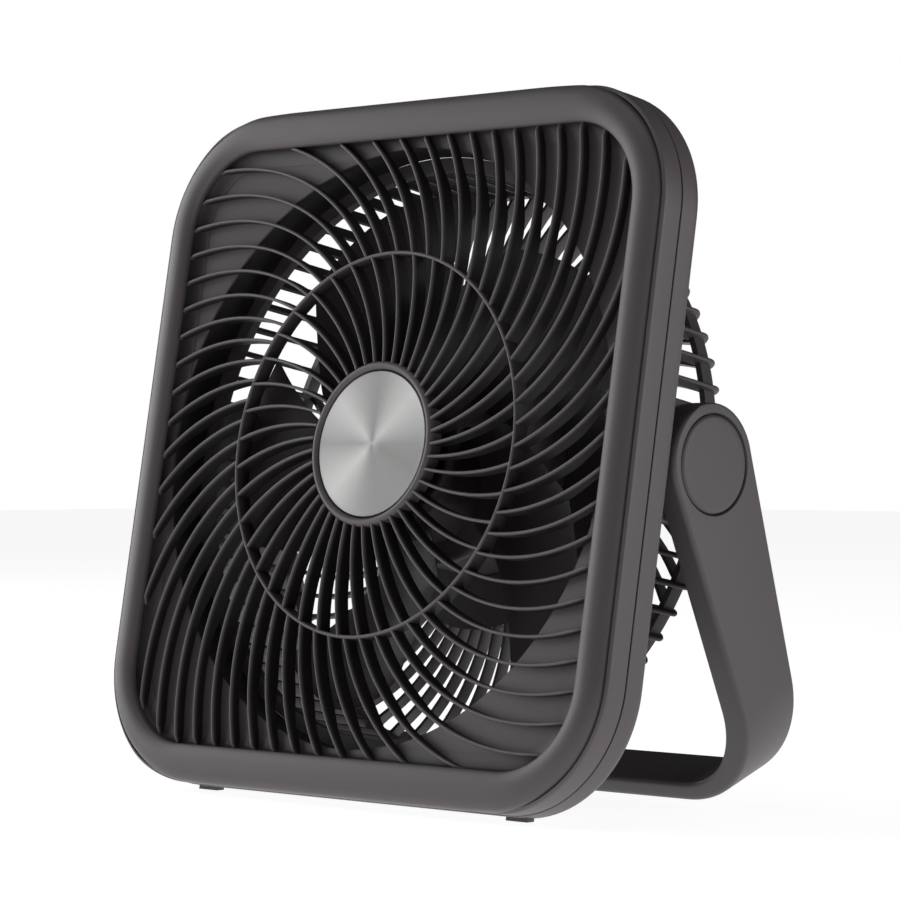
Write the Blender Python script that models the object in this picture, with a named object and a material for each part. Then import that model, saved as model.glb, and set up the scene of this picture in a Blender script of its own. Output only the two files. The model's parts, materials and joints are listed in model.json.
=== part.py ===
"""Box fan on a U stand, as separate solids. Metres, +Z up, front towards -Y.

The casing is drawn upright in its own frame (x right, y back, z up, origin at the
middle of the grille's front) and then leant back as a whole by the fan_frame empty.
"""
import math

import bmesh
import bpy
from mathutils import Matrix, Vector

# Driving dimensions
HALF_WIDTH = 0.150
HALF_HEIGHT = 0.152
CASE_CORNER = 0.055
HEIGHT_INSET = 1.075          # how much faster an inset grows in height than in width
CORNER_INSET = 1.12           # and how much faster a corner's radius shrinks
LEAN = math.radians(10.1)
FLOOR_DROP = 0.1546           # the floor below the middle of the front
BOX_MIDDLE = 0.0441           # from the middle of the front back to the middle of the whole
GAP = 0.0003

# Casing depths, from the grille's front backwards
SHELL_FRONT = 0.0019
SHELL_SPLIT = 0.0131
CASE_BACK = 0.0255
LEDGE = 0.0063

# Grille
HUB_RING = 0.0361
BADGE_RADIUS = 0.0321
MIDDLE_RING = 0.08375
RING_HALF = 0.0008
RIB_HALF = 0.0007
INNER_RIBS = 41
OUTER_RIBS = 56
GRILLE_FRONT = 0.001
RIM_FRONT = 0.0027
GRILLE_BACK = 0.0084
RIM_BACK = 0.006
OPENING_INSET = 0.0159

# Air path and cage
DUCT_RADIUS = 0.131
CAGE_RADIUS = 0.131
CAGE_DEPTH = 0.006
CAGE_BACK = 0.082
CAGE_RIBS = 66
CAGE_PHASE = math.radians(4)
CAGE_BEND = 0.124            # where the ribs stop sweeping and turn towards the casing
CAGE_HUB = 0.0466
CAGE_DISC = 0.070
CAGE_RIB_HALF = 0.001

# Rotor
TIP_RADIUS = 0.119
HUB_RADIUS = 0.037
BLADES = 5
BLADE_FRONT = 0.022
BLADE_BACK = 0.042
LEADING_EDGE = math.radians(171)
SHAFT_RADIUS = 0.004

# Motor pod at the back
POD_RADIUS = 0.046
POD_FRONT = 0.0474
COVER_FRONT = 0.0823
COVER_BACK = 0.0848
POST_RADIUS = 0.0395
CELL_RADIUS = 0.0091
CELL_LENGTH = 0.065
CELL_PITCH = 0.019
CELL_DEPTH = 0.0616

# Stand
PIVOT_DEPTH = 0.052
STAND_SWING = math.radians(30)
STAND_LENGTH = 0.147
ARM_OUTER = 0.1498
ARM_THICK = 0.012
BAR_THICK = 0.008
ARM_END_RADIUS = 0.0253
ARM_TAPER = 0.069
STAND_CORNER = 0.045
CAP_RADIUS = 0.0204
LUG_INNER = 0.1316
LUG_OUTER = 0.1363
LUG_RADIUS = 0.0255
PIVOT_HOLE = 0.0063

CORNER_STEPS = 8


def clear_scene():
    for thing in list(bpy.data.objects):
        bpy.data.objects.remove(thing, do_unlink=True)


def add_empty(name, parent=None, location=(0, 0, 0), turn_x=0.0):
    empty = bpy.data.objects.new(name, None)
    bpy.context.scene.collection.objects.link(empty)
    empty.parent = parent
    empty.location = location
    empty.rotation_euler = (turn_x, 0, 0)
    return empty


def add_material(name, colour, roughness, metallic=0.0):
    material = bpy.data.materials.new(name)
    material.use_nodes = True
    shader = material.node_tree.nodes["Principled BSDF"]
    shader.inputs["Base Color"].default_value = (*colour, 1)
    shader.inputs["Roughness"].default_value = roughness
    shader.inputs["Metallic"].default_value = metallic
    return material


PLASTIC = ((0.085, 0.075, 0.08), 0.45, 0.0)
DARK_PLASTIC = ((0.03, 0.026, 0.027), 0.5, 0.0)
RUBBER = ((0.015, 0.015, 0.015), 0.85, 0.0)
SILVER = ((0.62, 0.62, 0.61), 0.3, 1.0)
STEEL = ((0.45, 0.45, 0.46), 0.35, 1.0)
COPPER = ((0.72, 0.35, 0.18), 0.4, 1.0)
MAGNET = ((0.12, 0.12, 0.125), 0.6, 1.0)
BOARD = ((0.02, 0.13, 0.06), 0.5, 0.0)
CELL_WRAP = ((0.05, 0.16, 0.35), 0.4, 0.0)
LIGHT = ((0.75, 0.85, 0.8), 0.2, 0.0)


def add_object(name, mesh_builder, look, parent, helper=False):
    """Turn a bmesh into a named object with its own material, shaded smooth but for its sharp edges."""
    bmesh.ops.recalc_face_normals(mesh_builder, faces=mesh_builder.faces)
    mesh = bpy.data.meshes.new(name)
    mesh_builder.to_mesh(mesh)
    mesh_builder.free()
    thing = bpy.data.objects.new(name, mesh)
    bpy.context.scene.collection.objects.link(thing)
    thing.parent = parent
    if helper:
        thing.hide_render = True
        thing.display_type = "WIRE"
    else:
        mesh.materials.append(add_material(name, *look))
        mesh.shade_smooth()
        mesh.set_sharp_from_angle(angle=math.radians(35))
    return thing


def combine(thing, helper, operation):
    modifier = thing.modifiers.new(helper.name, "BOOLEAN")
    modifier.object = helper
    modifier.operation = operation
    modifier.solver = "EXACT"


def loft(loops, ring=False, builder=None):
    """Skin between loops of equal count. A ring joins its last loop to its first, anything else is capped."""
    builder = builder or bmesh.new()
    rows = [[builder.verts.new(point) for point in loop] for loop in loops]
    pairs = list(zip(rows, rows[1:]))
    if ring:
        pairs.append((rows[-1], rows[0]))
    for near, far in pairs:
        for j in range(len(near)):
            k = (j + 1) % len(near)
            builder.faces.new((near[j], near[k], far[k], far[j]))
    if not ring:
        builder.faces.new(rows[0][::-1])
        builder.faces.new(rows[-1])
    return builder


def square_loop(half_x, half_z, radius, y):
    """Points on a rounded square at one depth; with all three sizes equal it is a circle."""
    points = []
    for quarter in range(4):
        side_x = 1 if quarter in (0, 3) else -1
        side_z = 1 if quarter in (0, 1) else -1
        for step in range(CORNER_STEPS):
            angle = math.pi / 2 * (quarter + (step + 0.5) / CORNER_STEPS)
            x = side_x * (half_x - radius) + radius * math.cos(angle)
            z = side_z * (half_z - radius) + radius * math.sin(angle)
            points.append((x, y, z))
    return points


def case_sizes(inset):
    return (HALF_WIDTH - inset, HALF_HEIGHT - HEIGHT_INSET * inset, CASE_CORNER - CORNER_INSET * inset)


def case_loop(inset, y):
    return square_loop(*case_sizes(inset), y)


def round_loop(radius, y):
    return square_loop(radius, radius, radius, y)


def circle(radius, y, count, centre=(0.0, 0.0)):
    points = []
    for j in range(count):
        angle = 2 * math.pi * j / count
        points.append((centre[0] + radius * math.cos(angle), y, centre[1] + radius * math.sin(angle)))
    return points


def turned(profile, count, centre=(0.0, 0.0), ring=False, builder=None):
    """A profile of (radius, depth) points turned about a line along y through the centre."""
    return loft([circle(radius, y, count, centre) for radius, y in profile], ring, builder)


def box(low, high):
    builder = bmesh.new()
    bmesh.ops.create_cube(builder, size=1.0)
    low, high = Vector(low), Vector(high)
    for vert in builder.verts:
        vert.co = Vector(((vert.co[i] + 0.5) * (high[i] - low[i]) + low[i] for i in range(3)))
    return builder


def plate(outlines, front, back):
    """A flat plate between two depths, from its outer outline and the outlines of its holes."""
    builder = bmesh.new()
    for outline in outlines:
        verts = [builder.verts.new((x, front, z)) for x, z in outline]
        for j, vert in enumerate(verts):
            builder.edges.new((vert, verts[(j + 1) % len(verts)]))
    bmesh.ops.triangle_fill(builder, use_beauty=True, edges=builder.edges[:], normal=(0, -1, 0))
    extruded = bmesh.ops.extrude_face_region(builder, geom=builder.faces[:], use_keep_orig=True)
    for item in extruded["geom"]:
        if isinstance(item, bmesh.types.BMVert):
            item.co.y = back
    return builder


def onto_x(builder):
    """Turn a shape made about y so that its axis lies along x, with y going to x."""
    bmesh.ops.transform(builder, matrix=Matrix.Rotation(-math.pi / 2, 4, "Z"), verts=builder.verts)
    return builder


# ---- Front -----------------------------------------------------------------

def add_bezel(parent):
    skin = [(0.0160, 0.0), (0.0146, -0.0011), (0.0118, -0.0019), (0.0085, -0.0018),
            (0.0055, -0.0007), (0.0034, 0.0012), (0.0024, 0.0034), (0.0022, 0.0057)]
    inside = [(0.0042, 0.0057), (0.0052, 0.0022), (0.0085, 0.0003), (0.0130, 0.0006), (0.0160, 0.0022)]
    loops = [case_loop(inset, y) for inset, y in skin + inside]
    add_object("front_bezel", loft(loops, ring=True), PLASTIC, parent)


def spiral_turn(radius):
    """Angle that a rib has swept when it reaches a radius."""
    run = (radius - HUB_RING) * 1000
    return math.radians(0.215 * run + 0.00072 * run ** 2)


def spiral_edge(start, radius, side, half):
    """Angle of one edge of a rib at a radius, its half width taken square to the rib."""
    run = (radius - HUB_RING) * 1000
    slope = radius * 1000 * math.radians(0.215 + 0.00144 * run)
    return start + spiral_turn(radius) + side * half * math.hypot(1, slope) / radius


def square_reach(angle, inset):
    """Distance from the middle to the rounded square of an inset, along an angle."""
    half_x, half_z, radius = case_sizes(inset)
    across, up = abs(math.cos(angle)), abs(math.sin(angle))
    centre_x, centre_z = half_x - radius, half_z - radius
    side = half_x / max(across, 1e-9)
    if side * up <= centre_z:
        return side
    top = half_z / max(up, 1e-9)
    if top * across <= centre_x:
        return top
    along = centre_x * across + centre_z * up
    return along + math.sqrt(along ** 2 - centre_x ** 2 - centre_z ** 2 + radius ** 2)


def rib_end(start, side):
    """Radius at which an edge of an outer rib meets the rim, by halving."""
    low, high = 0.125, 0.185
    for _ in range(40):
        middle = (low + high) / 2
        if square_reach(spiral_edge(start, middle, side, RIB_HALF), OPENING_INSET) > middle:
            low = middle
        else:
            high = middle
    return low


def slot_outline(count, index, radii_of):
    """The hole between one rib and the next, out along one rib and back along the other."""
    pitch = 2 * math.pi / count
    outline = []
    for start, side in ((index * pitch, 1), ((index + 1) * pitch, -1)):
        radii = radii_of(start, side)
        edge = [(r, spiral_edge(start, r, side, RIB_HALF)) for r in radii]
        outline += edge if side == 1 else edge[::-1]
    return [(r * math.cos(angle), r * math.sin(angle)) for r, angle in outline]


def inner_radii(start, side):
    first, last = HUB_RING, MIDDLE_RING - RING_HALF
    return [first, (first + last) / 2, last]


def outer_radii(start, side):
    last = rib_end(start, side)
    return [MIDDLE_RING + RING_HALF, 0.106, 0.128, last]


def add_grille(parent):
    """A flat plate with a slot between every two ribs, its rim set back from the ribs."""
    outlines = [[(x, z) for x, y, z in case_loop(0.0075, 0)]]
    outlines += [slot_outline(INNER_RIBS, i, inner_radii) for i in range(INNER_RIBS)]
    outlines += [slot_outline(OUTER_RIBS, i, outer_radii) for i in range(OUTER_RIBS)]
    builder = plate(outlines, 0, GRILLE_BACK)
    for vert in builder.verts:
        reach = math.hypot(vert.co.x, vert.co.z)
        rim = square_reach(math.atan2(vert.co.z, vert.co.x), OPENING_INSET)
        if vert.co.y > GRILLE_BACK / 2:
            vert.co.y = GRILLE_BACK if reach < 0.12 else RIM_BACK
        else:
            vert.co.y = GRILLE_FRONT if reach < rim - 0.001 else RIM_FRONT
    grille = add_object("front_grille", builder, PLASTIC, parent)
    pocket = turned([(BADGE_RADIUS + 0.0004, -0.002), (BADGE_RADIUS + 0.0004, 0.0035)], 32)
    combine(grille, add_object("badge_pocket", pocket, None, parent, helper=True), "DIFFERENCE")


def add_badge(parent):
    profile = [(BADGE_RADIUS - 0.0006, 0.0019), (BADGE_RADIUS, 0.0024), (BADGE_RADIUS, 0.0032)]
    add_object("hub_badge", turned(profile, 32), SILVER, parent)


# ---- Casing ----------------------------------------------------------------

SCREW_X = 0.118
SCREW_Z = 0.120


def corners(x, z):
    return [(side_x * x, side_z * z) for side_z in (1, -1) for side_x in (1, -1)]


def add_front_shell(parent):
    section = [(0.0007, SHELL_FRONT), (0.0, 0.0030), (0.0, SHELL_SPLIT - GAP / 2), (0.0022, SHELL_SPLIT - GAP / 2),
               (0.0022, 0.0108), (0.0090, 0.0108), (0.0090, 0.0086), (0.0018, 0.0086), (0.0018, 0.0024)]
    add_object("front_shell", loft([case_loop(*point) for point in section], ring=True), PLASTIC, parent)


def add_air_duct(parent):
    """The round throat, its ledge in the corners, and the four posts that take the case screws."""
    back = 0.0232
    loops = [case_loop(0.0050, LEDGE), case_loop(0.0050, LEDGE + 0.002),
             round_loop(DUCT_RADIUS + 0.0018, LEDGE + 0.002), round_loop(DUCT_RADIUS + 0.0018, back),
             round_loop(DUCT_RADIUS, back), round_loop(DUCT_RADIUS, LEDGE)]
    duct = add_object("air_duct", loft(loops, ring=True), PLASTIC, parent)
    posts, holes = bmesh.new(), bmesh.new()
    for centre in corners(SCREW_X, SCREW_Z):
        turned([(0.005, LEDGE + 0.001), (0.005, back)], 16, centre, builder=posts)
        turned([(0.0021, 0.0115), (0.0021, back + 0.001)], 12, centre, builder=holes)
    combine(duct, add_object("duct_posts", posts, None, parent, helper=True), "UNION")
    combine(duct, add_object("duct_post_holes", holes, None, parent, helper=True), "DIFFERENCE")


def lug(side):
    """A round ended ear that stands back from the casing and carries one end of the stand."""
    arc = []
    for step in range(11):
        angle = math.pi * (step / 10 - 0.5)
        arc.append((PIVOT_DEPTH + LUG_RADIUS * math.cos(angle), LUG_RADIUS * math.sin(angle)))
    outline = [(CASE_BACK - 0.001, -LUG_RADIUS)] + arc + [(CASE_BACK - 0.001, LUG_RADIUS)]
    return loft([[(side * x, y, z) for y, z in outline] for x in (LUG_INNER, LUG_OUTER)])


FOOT_X = (0.088, 0.100)
FOOT_Y = (0.0195, 0.0235)


def floor_height(y):
    """Height in the fan's own frame of the floor under a depth y."""
    return (y * math.sin(LEAN) - FLOOR_DROP) / math.cos(LEAN)


def add_rear_shell(parent):
    loops = [case_loop(0.0, SHELL_SPLIT + GAP / 2), case_loop(0.0, 0.0228), case_loop(0.0008, 0.0247),
             case_loop(0.0026, CASE_BACK), round_loop(DUCT_RADIUS + 0.0012, CASE_BACK),
             round_loop(DUCT_RADIUS + 0.0012, 0.0236), case_loop(0.0034, 0.0236), case_loop(0.0026, 0.0222),
             case_loop(0.0026, SHELL_SPLIT + GAP / 2)]
    shell = add_object("rear_shell", loft(loops, ring=True), PLASTIC, parent)
    for side, word in ((1, "right"), (-1, "left")):
        ear = add_object("lug_" + word, lug(side), None, parent, helper=True)
        combine(shell, ear, "UNION")
        hole = onto_x(turned([(PIVOT_HOLE, side * 0.128), (PIVOT_HOLE, side * 0.140)], 24, (-PIVOT_DEPTH, 0.0)))
        combine(shell, add_object("lug_hole_" + word, hole, None, parent, helper=True), "DIFFERENCE")
        x = sorted((side * (FOOT_X[0] - GAP), side * (FOOT_X[1] + GAP)))
        recess = box((x[0], FOOT_Y[0] - GAP, -0.160), (x[1], FOOT_Y[1] + GAP, -0.1508))
        combine(shell, add_object("foot_recess_" + word, recess, None, parent, helper=True), "DIFFERENCE")
        foot = [(y, -0.1511) for y in FOOT_Y] + [(y, floor_height(y)) for y in reversed(FOOT_Y)]
        loops = [[(side * x, y, z) for y, z in foot] for x in FOOT_X]
        add_object("case_foot_" + word, loft(loops), RUBBER, parent)
    holes = bmesh.new()
    for centre in corners(SCREW_X, SCREW_Z):
        turned([(0.0022, 0.022), (0.0022, 0.028)], 12, centre, builder=holes)
    combine(shell, add_object("shell_screw_holes", holes, None, parent, helper=True), "DIFFERENCE")


def screw(centre, head_radius, radius, under_head, tip, head=0.0016):
    """A screw along y whose head is at the end given by under_head."""
    outward = 1 if under_head > tip else -1
    top = under_head + outward * head
    profile = [(head_radius * 0.8, top), (head_radius, top - outward * head * 0.45), (head_radius, under_head),
               (radius, under_head), (radius, tip)]
    return turned(profile, 10, centre)


def add_case_screws(parent):
    for number, centre in enumerate(corners(SCREW_X, SCREW_Z), 1):
        shape = screw(centre, 0.0036, 0.0018, CASE_BACK + GAP, 0.0120)
        add_object("case_screw_%d" % number, shape, STEEL, parent)


# ---- Rear cage -------------------------------------------------------------

def cage_turn(radius):
    """The ribs sweep the other way from the grille's as they run out over the back."""
    run = (min(radius, CAGE_BEND) - CAGE_HUB) * 1000
    return CAGE_PHASE - math.radians(0.2 * run + 0.0008 * run ** 2)


def cage_rows():
    """(back or outer point, front or inner point, whether the band to the next row is a full ring)."""
    front = CAGE_BACK - CAGE_DEPTH
    inner = CAGE_RADIUS - CAGE_DEPTH
    rows = [((CAGE_HUB, CAGE_BACK), (CAGE_HUB, front), True),
            ((CAGE_DISC, CAGE_BACK), (CAGE_DISC, front), False),
            ((0.097, CAGE_BACK), (0.097, front), False)]
    rows.append(((CAGE_BEND, CAGE_BACK), (inner - 0.003, front), False))
    rows.append(((CAGE_RADIUS, CAGE_BACK - 0.004), (inner, front - 0.003), False))
    rows.append(((CAGE_RADIUS, 0.0283), (inner, 0.0283), True))
    rows.append(((CAGE_RADIUS, 0.0236), (inner, 0.0236), False))
    return rows


def add_cage(parent):
    """A lattice: every other column is a rib, and a few bands between rows are closed into rings."""
    builder = bmesh.new()
    rows = cage_rows()
    columns = 2 * CAGE_RIBS
    grid = []
    for outer, inner, _ in rows:
        turn = cage_turn(outer[0])
        slant = outer[0] * 1000 * math.radians(0.2 + 0.0016 * (outer[0] - CAGE_HUB) * 1000)
        on_back = outer[1] >= CAGE_BACK - 1e-6
        half = CAGE_RIB_HALF * (math.hypot(1, slant) if on_back else 1) / outer[0]
        line = []
        for column in range(columns):
            angle = 2 * math.pi * (column // 2) / CAGE_RIBS + turn + (half if column % 2 else -half)
            pair = [builder.verts.new((r * math.cos(angle), y, r * math.sin(angle))) for r, y in (outer, inner)]
            line.append(pair)
        grid.append(line)

    def filled(row, column):
        return 0 <= row < len(rows) - 1 and (rows[row][2] or column % 2 == 0)

    for row in range(len(rows) - 1):
        for column in range(columns):
            if not filled(row, column):
                continue
            after = (column + 1) % columns
            a, b = grid[row][column], grid[row][after]
            c, d = grid[row + 1][after], grid[row + 1][column]
            builder.faces.new((a[0], b[0], c[0], d[0]))
            builder.faces.new((a[1], d[1], c[1], b[1]))
            if not rows[row][2]:
                builder.faces.new((a[0], d[0], d[1], a[1]))
                builder.faces.new((b[0], b[1], c[1], c[0]))
            if not filled(row - 1, column):
                builder.faces.new((a[0], a[1], b[1], b[0]))
            if not filled(row + 1, column):
                builder.faces.new((d[0], c[0], c[1], d[1]))
    add_object("rear_cage", builder, PLASTIC, parent)


# ---- Rotor -----------------------------------------------------------------

def blade_point(lead, along, across, lift):
    """along runs 0 to 1 from hub to tip, across 0 to 1 from the leading edge back to the trailing edge."""
    tip = TIP_RADIUS - 0.0185 * max(0.0, (across - 0.45) / 0.55) ** 1.6
    radius = HUB_RADIUS - 0.002 + along * (tip - HUB_RADIUS + 0.002)
    chord = 0.038 + 0.022 * min(1.0, (radius - HUB_RADIUS + 0.002) / 0.026)
    sweep = math.radians(250 * max(0.0, radius - 0.062))
    angle = lead - sweep * (1 - across) + across * chord / radius
    bow = 0.0035 * math.sin(math.pi * across)
    y = BLADE_BACK + across * (BLADE_FRONT - BLADE_BACK) + bow + lift
    return (radius * math.cos(angle), y, radius * math.sin(angle))


def add_blade(builder, lead):
    """One blade: a front and a back sheet on the same grid, joined round their edges."""
    steps_along, steps_across, half = 6, 6, 0.0011
    loops = []
    for i in range(steps_along + 1):
        along = i / steps_along
        front = [blade_point(lead, along, j / steps_across, -half) for j in range(steps_across + 1)]
        back = [blade_point(lead, along, j / steps_across, half) for j in range(steps_across + 1)]
        loops.append(front + back[::-1])
    loft(loops, builder=builder)


def add_rotor(parent):
    profile = [(0.0046, 0.014), (HUB_RADIUS - 0.003, 0.014), (HUB_RADIUS, 0.018), (HUB_RADIUS, 0.043),
               (HUB_RADIUS - 0.0035, 0.043), (HUB_RADIUS - 0.0035, 0.017), (0.0046, 0.017)]
    rotor = add_object("fan_rotor", turned(profile, 30, ring=True), DARK_PLASTIC, parent)
    blades = bmesh.new()
    for number in range(BLADES):
        add_blade(blades, LEADING_EDGE + 2 * math.pi * number / BLADES)
    bmesh.ops.recalc_face_normals(blades, faces=blades.faces)
    combine(rotor, add_object("rotor_blades", blades, None, parent, helper=True), "UNION")
    nut = turned([(0.0049, 0.0100), (0.0078, 0.0100), (0.0088, 0.0110), (0.0088, 0.0137), (0.0049, 0.0137)], 6, ring=True)
    add_object("blade_nut", nut, STEEL, parent)
    shaft = turned([(SHAFT_RADIUS - 0.0005, 0.0094), (SHAFT_RADIUS, 0.0099), (SHAFT_RADIUS, 0.0466)], 24)
    add_object("motor_shaft", shaft, STEEL, parent)
    bell = [(0.0043, 0.0186), (0.0265, 0.0186), (0.0285, 0.0206), (0.0285, 0.040), (0.0262, 0.040),
            (0.0262, 0.0206), (0.0043, 0.0206)]
    add_object("rotor_bell", turned(bell, 24, ring=True), STEEL, parent)
    magnet = [(0.0236, 0.0225), (0.0259, 0.0225), (0.0259, 0.039), (0.0236, 0.039)]
    add_object("magnet_ring", turned(magnet, 24, ring=True), MAGNET, parent)


# ---- Motor, fixed side -----------------------------------------------------

def add_stator(parent):
    """Nine teeth on a ring, each tooth widening into a shoe."""
    teeth = 9
    outline = []
    for tooth in range(teeth):
        middle = 2 * math.pi * tooth / teeth
        for radius, offset in ((0.0135, -0.13), (0.0195, -0.09), (0.0198, -0.2), (0.0225, -0.2),
                               (0.0225, 0.2), (0.0198, 0.2), (0.0195, 0.09), (0.0135, 0.13)):
            outline.append((radius * math.cos(middle + offset), radius * math.sin(middle + offset)))
    bore = [(x, z) for x, y, z in circle(0.0101, 0, 36)]
    add_object("stator_core", plate([outline, bore], 0.0255, 0.0370), STEEL, parent)
    for word, low, high in (("front", 0.0222, 0.0252), ("rear", 0.0373, 0.0403)):
        coil = [(0.0135, low), (0.0185, low), (0.0195, (low + high) / 2), (0.0185, high), (0.0135, high)]
        add_object("stator_winding_" + word, turned(coil, 18, ring=True), COPPER, parent)


MOTOR_SCREW_RADIUS = 0.024


def third_turns(radius, start):
    return [(radius * math.cos(start + i * math.tau / 3), radius * math.sin(start + i * math.tau / 3)) for i in range(3)]


def add_motor_base(parent):
    """The plate that carries the motor, with the tube for the two bearings."""
    profile = [(0.0083, 0.0240), (0.0098, 0.0240), (0.0098, 0.0440), (0.034, 0.0440), (0.034, 0.0471),
               (0.0083, 0.0471)]
    base = add_object("motor_base", turned(profile, 24, ring=True), STEEL, parent)
    holes = bmesh.new()
    for number, centre in enumerate(third_turns(MOTOR_SCREW_RADIUS, 0.9), 1):
        turned([(0.0018, 0.043), (0.0018, 0.048)], 12, centre, builder=holes)
        shape = screw(centre, 0.0028, 0.0015, 0.0440 - GAP, 0.0492)
        add_object("motor_screw_%d" % number, shape, STEEL, parent)
    combine(base, add_object("motor_base_holes", holes, None, parent, helper=True), "DIFFERENCE")
    for word, low in (("front", 0.0245), ("rear", 0.0415)):
        race = [(0.0043, low), (0.0080, low), (0.0080, low + 0.005), (0.0043, low + 0.005)]
        add_object("bearing_" + word, turned(race, 18, ring=True), STEEL, parent)


# ---- Pod with battery and controls -----------------------------------------

LEAD_CENTRE = (0.0305, 0.0140)
SOCKET_HEIGHT = -0.024
LIGHT_HEIGHT = 0.024


def add_pod(parent):
    body = turned([(0.0440, POD_FRONT), (POD_RADIUS, POD_FRONT + 0.002), (POD_RADIUS, COVER_FRONT - GAP),
                   (0.0440, COVER_FRONT - GAP), (0.0440, POD_FRONT + 0.002), (0.0065, POD_FRONT + 0.002),
                   (0.0065, POD_FRONT)], 28, ring=True)
    pod = add_object("pod_body", body, PLASTIC, parent)
    posts, holes = bmesh.new(), bmesh.new()
    places = [(POST_RADIUS, 0.0), (0.0, POST_RADIUS), (-POST_RADIUS, 0.0), (0.0, -POST_RADIUS)]
    for centre in places:
        turned([(0.0035, POD_FRONT + 0.001), (0.0035, COVER_FRONT - GAP)], 12, centre, builder=posts)
        turned([(0.0018, 0.0700), (0.0018, 0.084)], 12, centre, builder=holes)
    for centre in third_turns(MOTOR_SCREW_RADIUS, 0.9):
        turned([(0.0018, 0.0465), (0.0018, 0.0505)], 12, centre, builder=holes)
    turned([(0.0020, 0.0465), (0.0020, 0.0505)], 12, LEAD_CENTRE, builder=holes)
    combine(pod, add_object("pod_posts", posts, None, parent, helper=True), "UNION")
    combine(pod, add_object("pod_holes", holes, None, parent, helper=True), "DIFFERENCE")
    cover = turned([(0.0512, COVER_FRONT), (0.0515, COVER_FRONT + 0.0012), (0.0500, COVER_BACK)], 32)
    cover = add_object("pod_cover", cover, PLASTIC, parent)
    cuts = bmesh.new()
    for number, centre in enumerate(places, 1):
        turned([(0.0019, 0.080), (0.0019, 0.087)], 12, centre, builder=cuts)
        shape = screw(centre, 0.0032, 0.0015, COVER_BACK + GAP, 0.0705)
        add_object("pod_screw_%d" % number, shape, STEEL, parent)
    turned([(0.0036, 0.080), (0.0036, 0.087)], 16, builder=cuts)
    turned([(0.0019, 0.080), (0.0019, 0.087)], 12, (0.0, LIGHT_HEIGHT), builder=cuts)
    combine(cover, add_object("cover_holes", cuts, None, parent, helper=True), "DIFFERENCE")
    slot = box((-0.0050, 0.080, SOCKET_HEIGHT - 0.0021), (0.0050, 0.087, SOCKET_HEIGHT + 0.0021))
    combine(cover, add_object("cover_slot", slot, None, parent, helper=True), "DIFFERENCE")


def add_battery(parent):
    for number, x in enumerate((-CELL_PITCH, 0.0, CELL_PITCH), 1):
        builder = bmesh.new()
        half = CELL_LENGTH / 2
        profile = [(CELL_RADIUS - 0.0006, -half), (CELL_RADIUS, 0.0006 - half), (CELL_RADIUS, half - 0.0006),
                   (CELL_RADIUS - 0.0006, half), (0.0035, half), (0.0032, half + 0.0009)]
        turned(profile, 16, builder=builder)
        bmesh.ops.transform(builder, matrix=Matrix.Rotation(math.pi / 2, 4, "X"), verts=builder.verts)
        bmesh.ops.translate(builder, vec=(x, CELL_DEPTH, 0), verts=builder.verts)
        add_object("battery_cell_%d" % number, builder, CELL_WRAP, parent)
    tray = box((-0.0270, 0.0497, -0.0270), (0.0270, 0.0517, 0.0270))
    tray = add_object("battery_tray", tray, DARK_PLASTIC, parent)
    fence = bmesh.new()
    for z in (-0.020, 0.020):
        piece = box((-0.0270, 0.0507, z - 0.001), (0.0270, 0.0560, z + 0.001))
        mesh = bpy.data.meshes.new("fence")
        piece.to_mesh(mesh)
        piece.free()
        fence.from_mesh(mesh)
    combine(tray, add_object("tray_ribs", fence, None, parent, helper=True), "UNION")
    hollows = bmesh.new()
    for x in (-CELL_PITCH, 0.0, CELL_PITCH):
        builder = turned([(CELL_RADIUS + GAP, -0.034), (CELL_RADIUS + GAP, 0.034)], 20)
        bmesh.ops.transform(builder, matrix=Matrix.Rotation(math.pi / 2, 4, "X"), verts=builder.verts)
        bmesh.ops.translate(builder, vec=(x, CELL_DEPTH, 0), verts=builder.verts)
        mesh = bpy.data.meshes.new("hollow")
        builder.to_mesh(mesh)
        builder.free()
        hollows.from_mesh(mesh)
    combine(tray, add_object("tray_hollows", hollows, None, parent, helper=True), "DIFFERENCE")


def add_controls(parent, knob_axis):
    board = turned([(0.0350, 0.0735), (0.0350, 0.0751)], 24)
    add_object("control_board", board, BOARD, parent)
    control = [(0.0078, 0.0754), (0.0078, 0.0800), (0.0050, 0.0800), (0.0050, 0.0812)]
    add_object("speed_control", turned(control, 16), DARK_PLASTIC, parent)
    knob = [(0.0030, 0.0816), (0.0030, 0.0856), (0.0140, 0.0856), (0.0142, 0.0870), (0.0128, 0.0960), (0.0110, 0.0972)]
    knob = [(r, y - COVER_BACK) for r, y in knob]
    knob = add_object("speed_knob", turned(knob, 24), PLASTIC, knob_axis)
    mark = box((-0.0007, 0.0116, 0.004), (0.0007, 0.0135, 0.0125))
    combine(knob, add_object("knob_mark", mark, None, knob_axis, helper=True), "DIFFERENCE")
    z = SOCKET_HEIGHT
    socket = add_object("charge_socket", box((-0.0046, 0.0754, z - 0.0017), (0.0046, 0.0846, z + 0.0017)), STEEL, parent)
    mouth = box((-0.0040, 0.0785, z - 0.0012), (0.0040, 0.0860, z + 0.0012))
    combine(socket, add_object("socket_mouth", mouth, None, parent, helper=True), "DIFFERENCE")
    light = turned([(0.0015, 0.0754), (0.0015, 0.0846), (0.0011, 0.0850)], 12, (0.0, LIGHT_HEIGHT))
    add_object("charge_light", light, LIGHT, parent)
    run = [(0.0012, POD_FRONT), (0.0012, 0.0732)]
    add_object("motor_lead", turned(run, 10, LEAD_CENTRE), RUBBER, parent)


# ---- Stand -----------------------------------------------------------------

def arm_half_width(down):
    return ARM_END_RADIUS - ARM_TAPER * max(down, 0.0)


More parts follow.
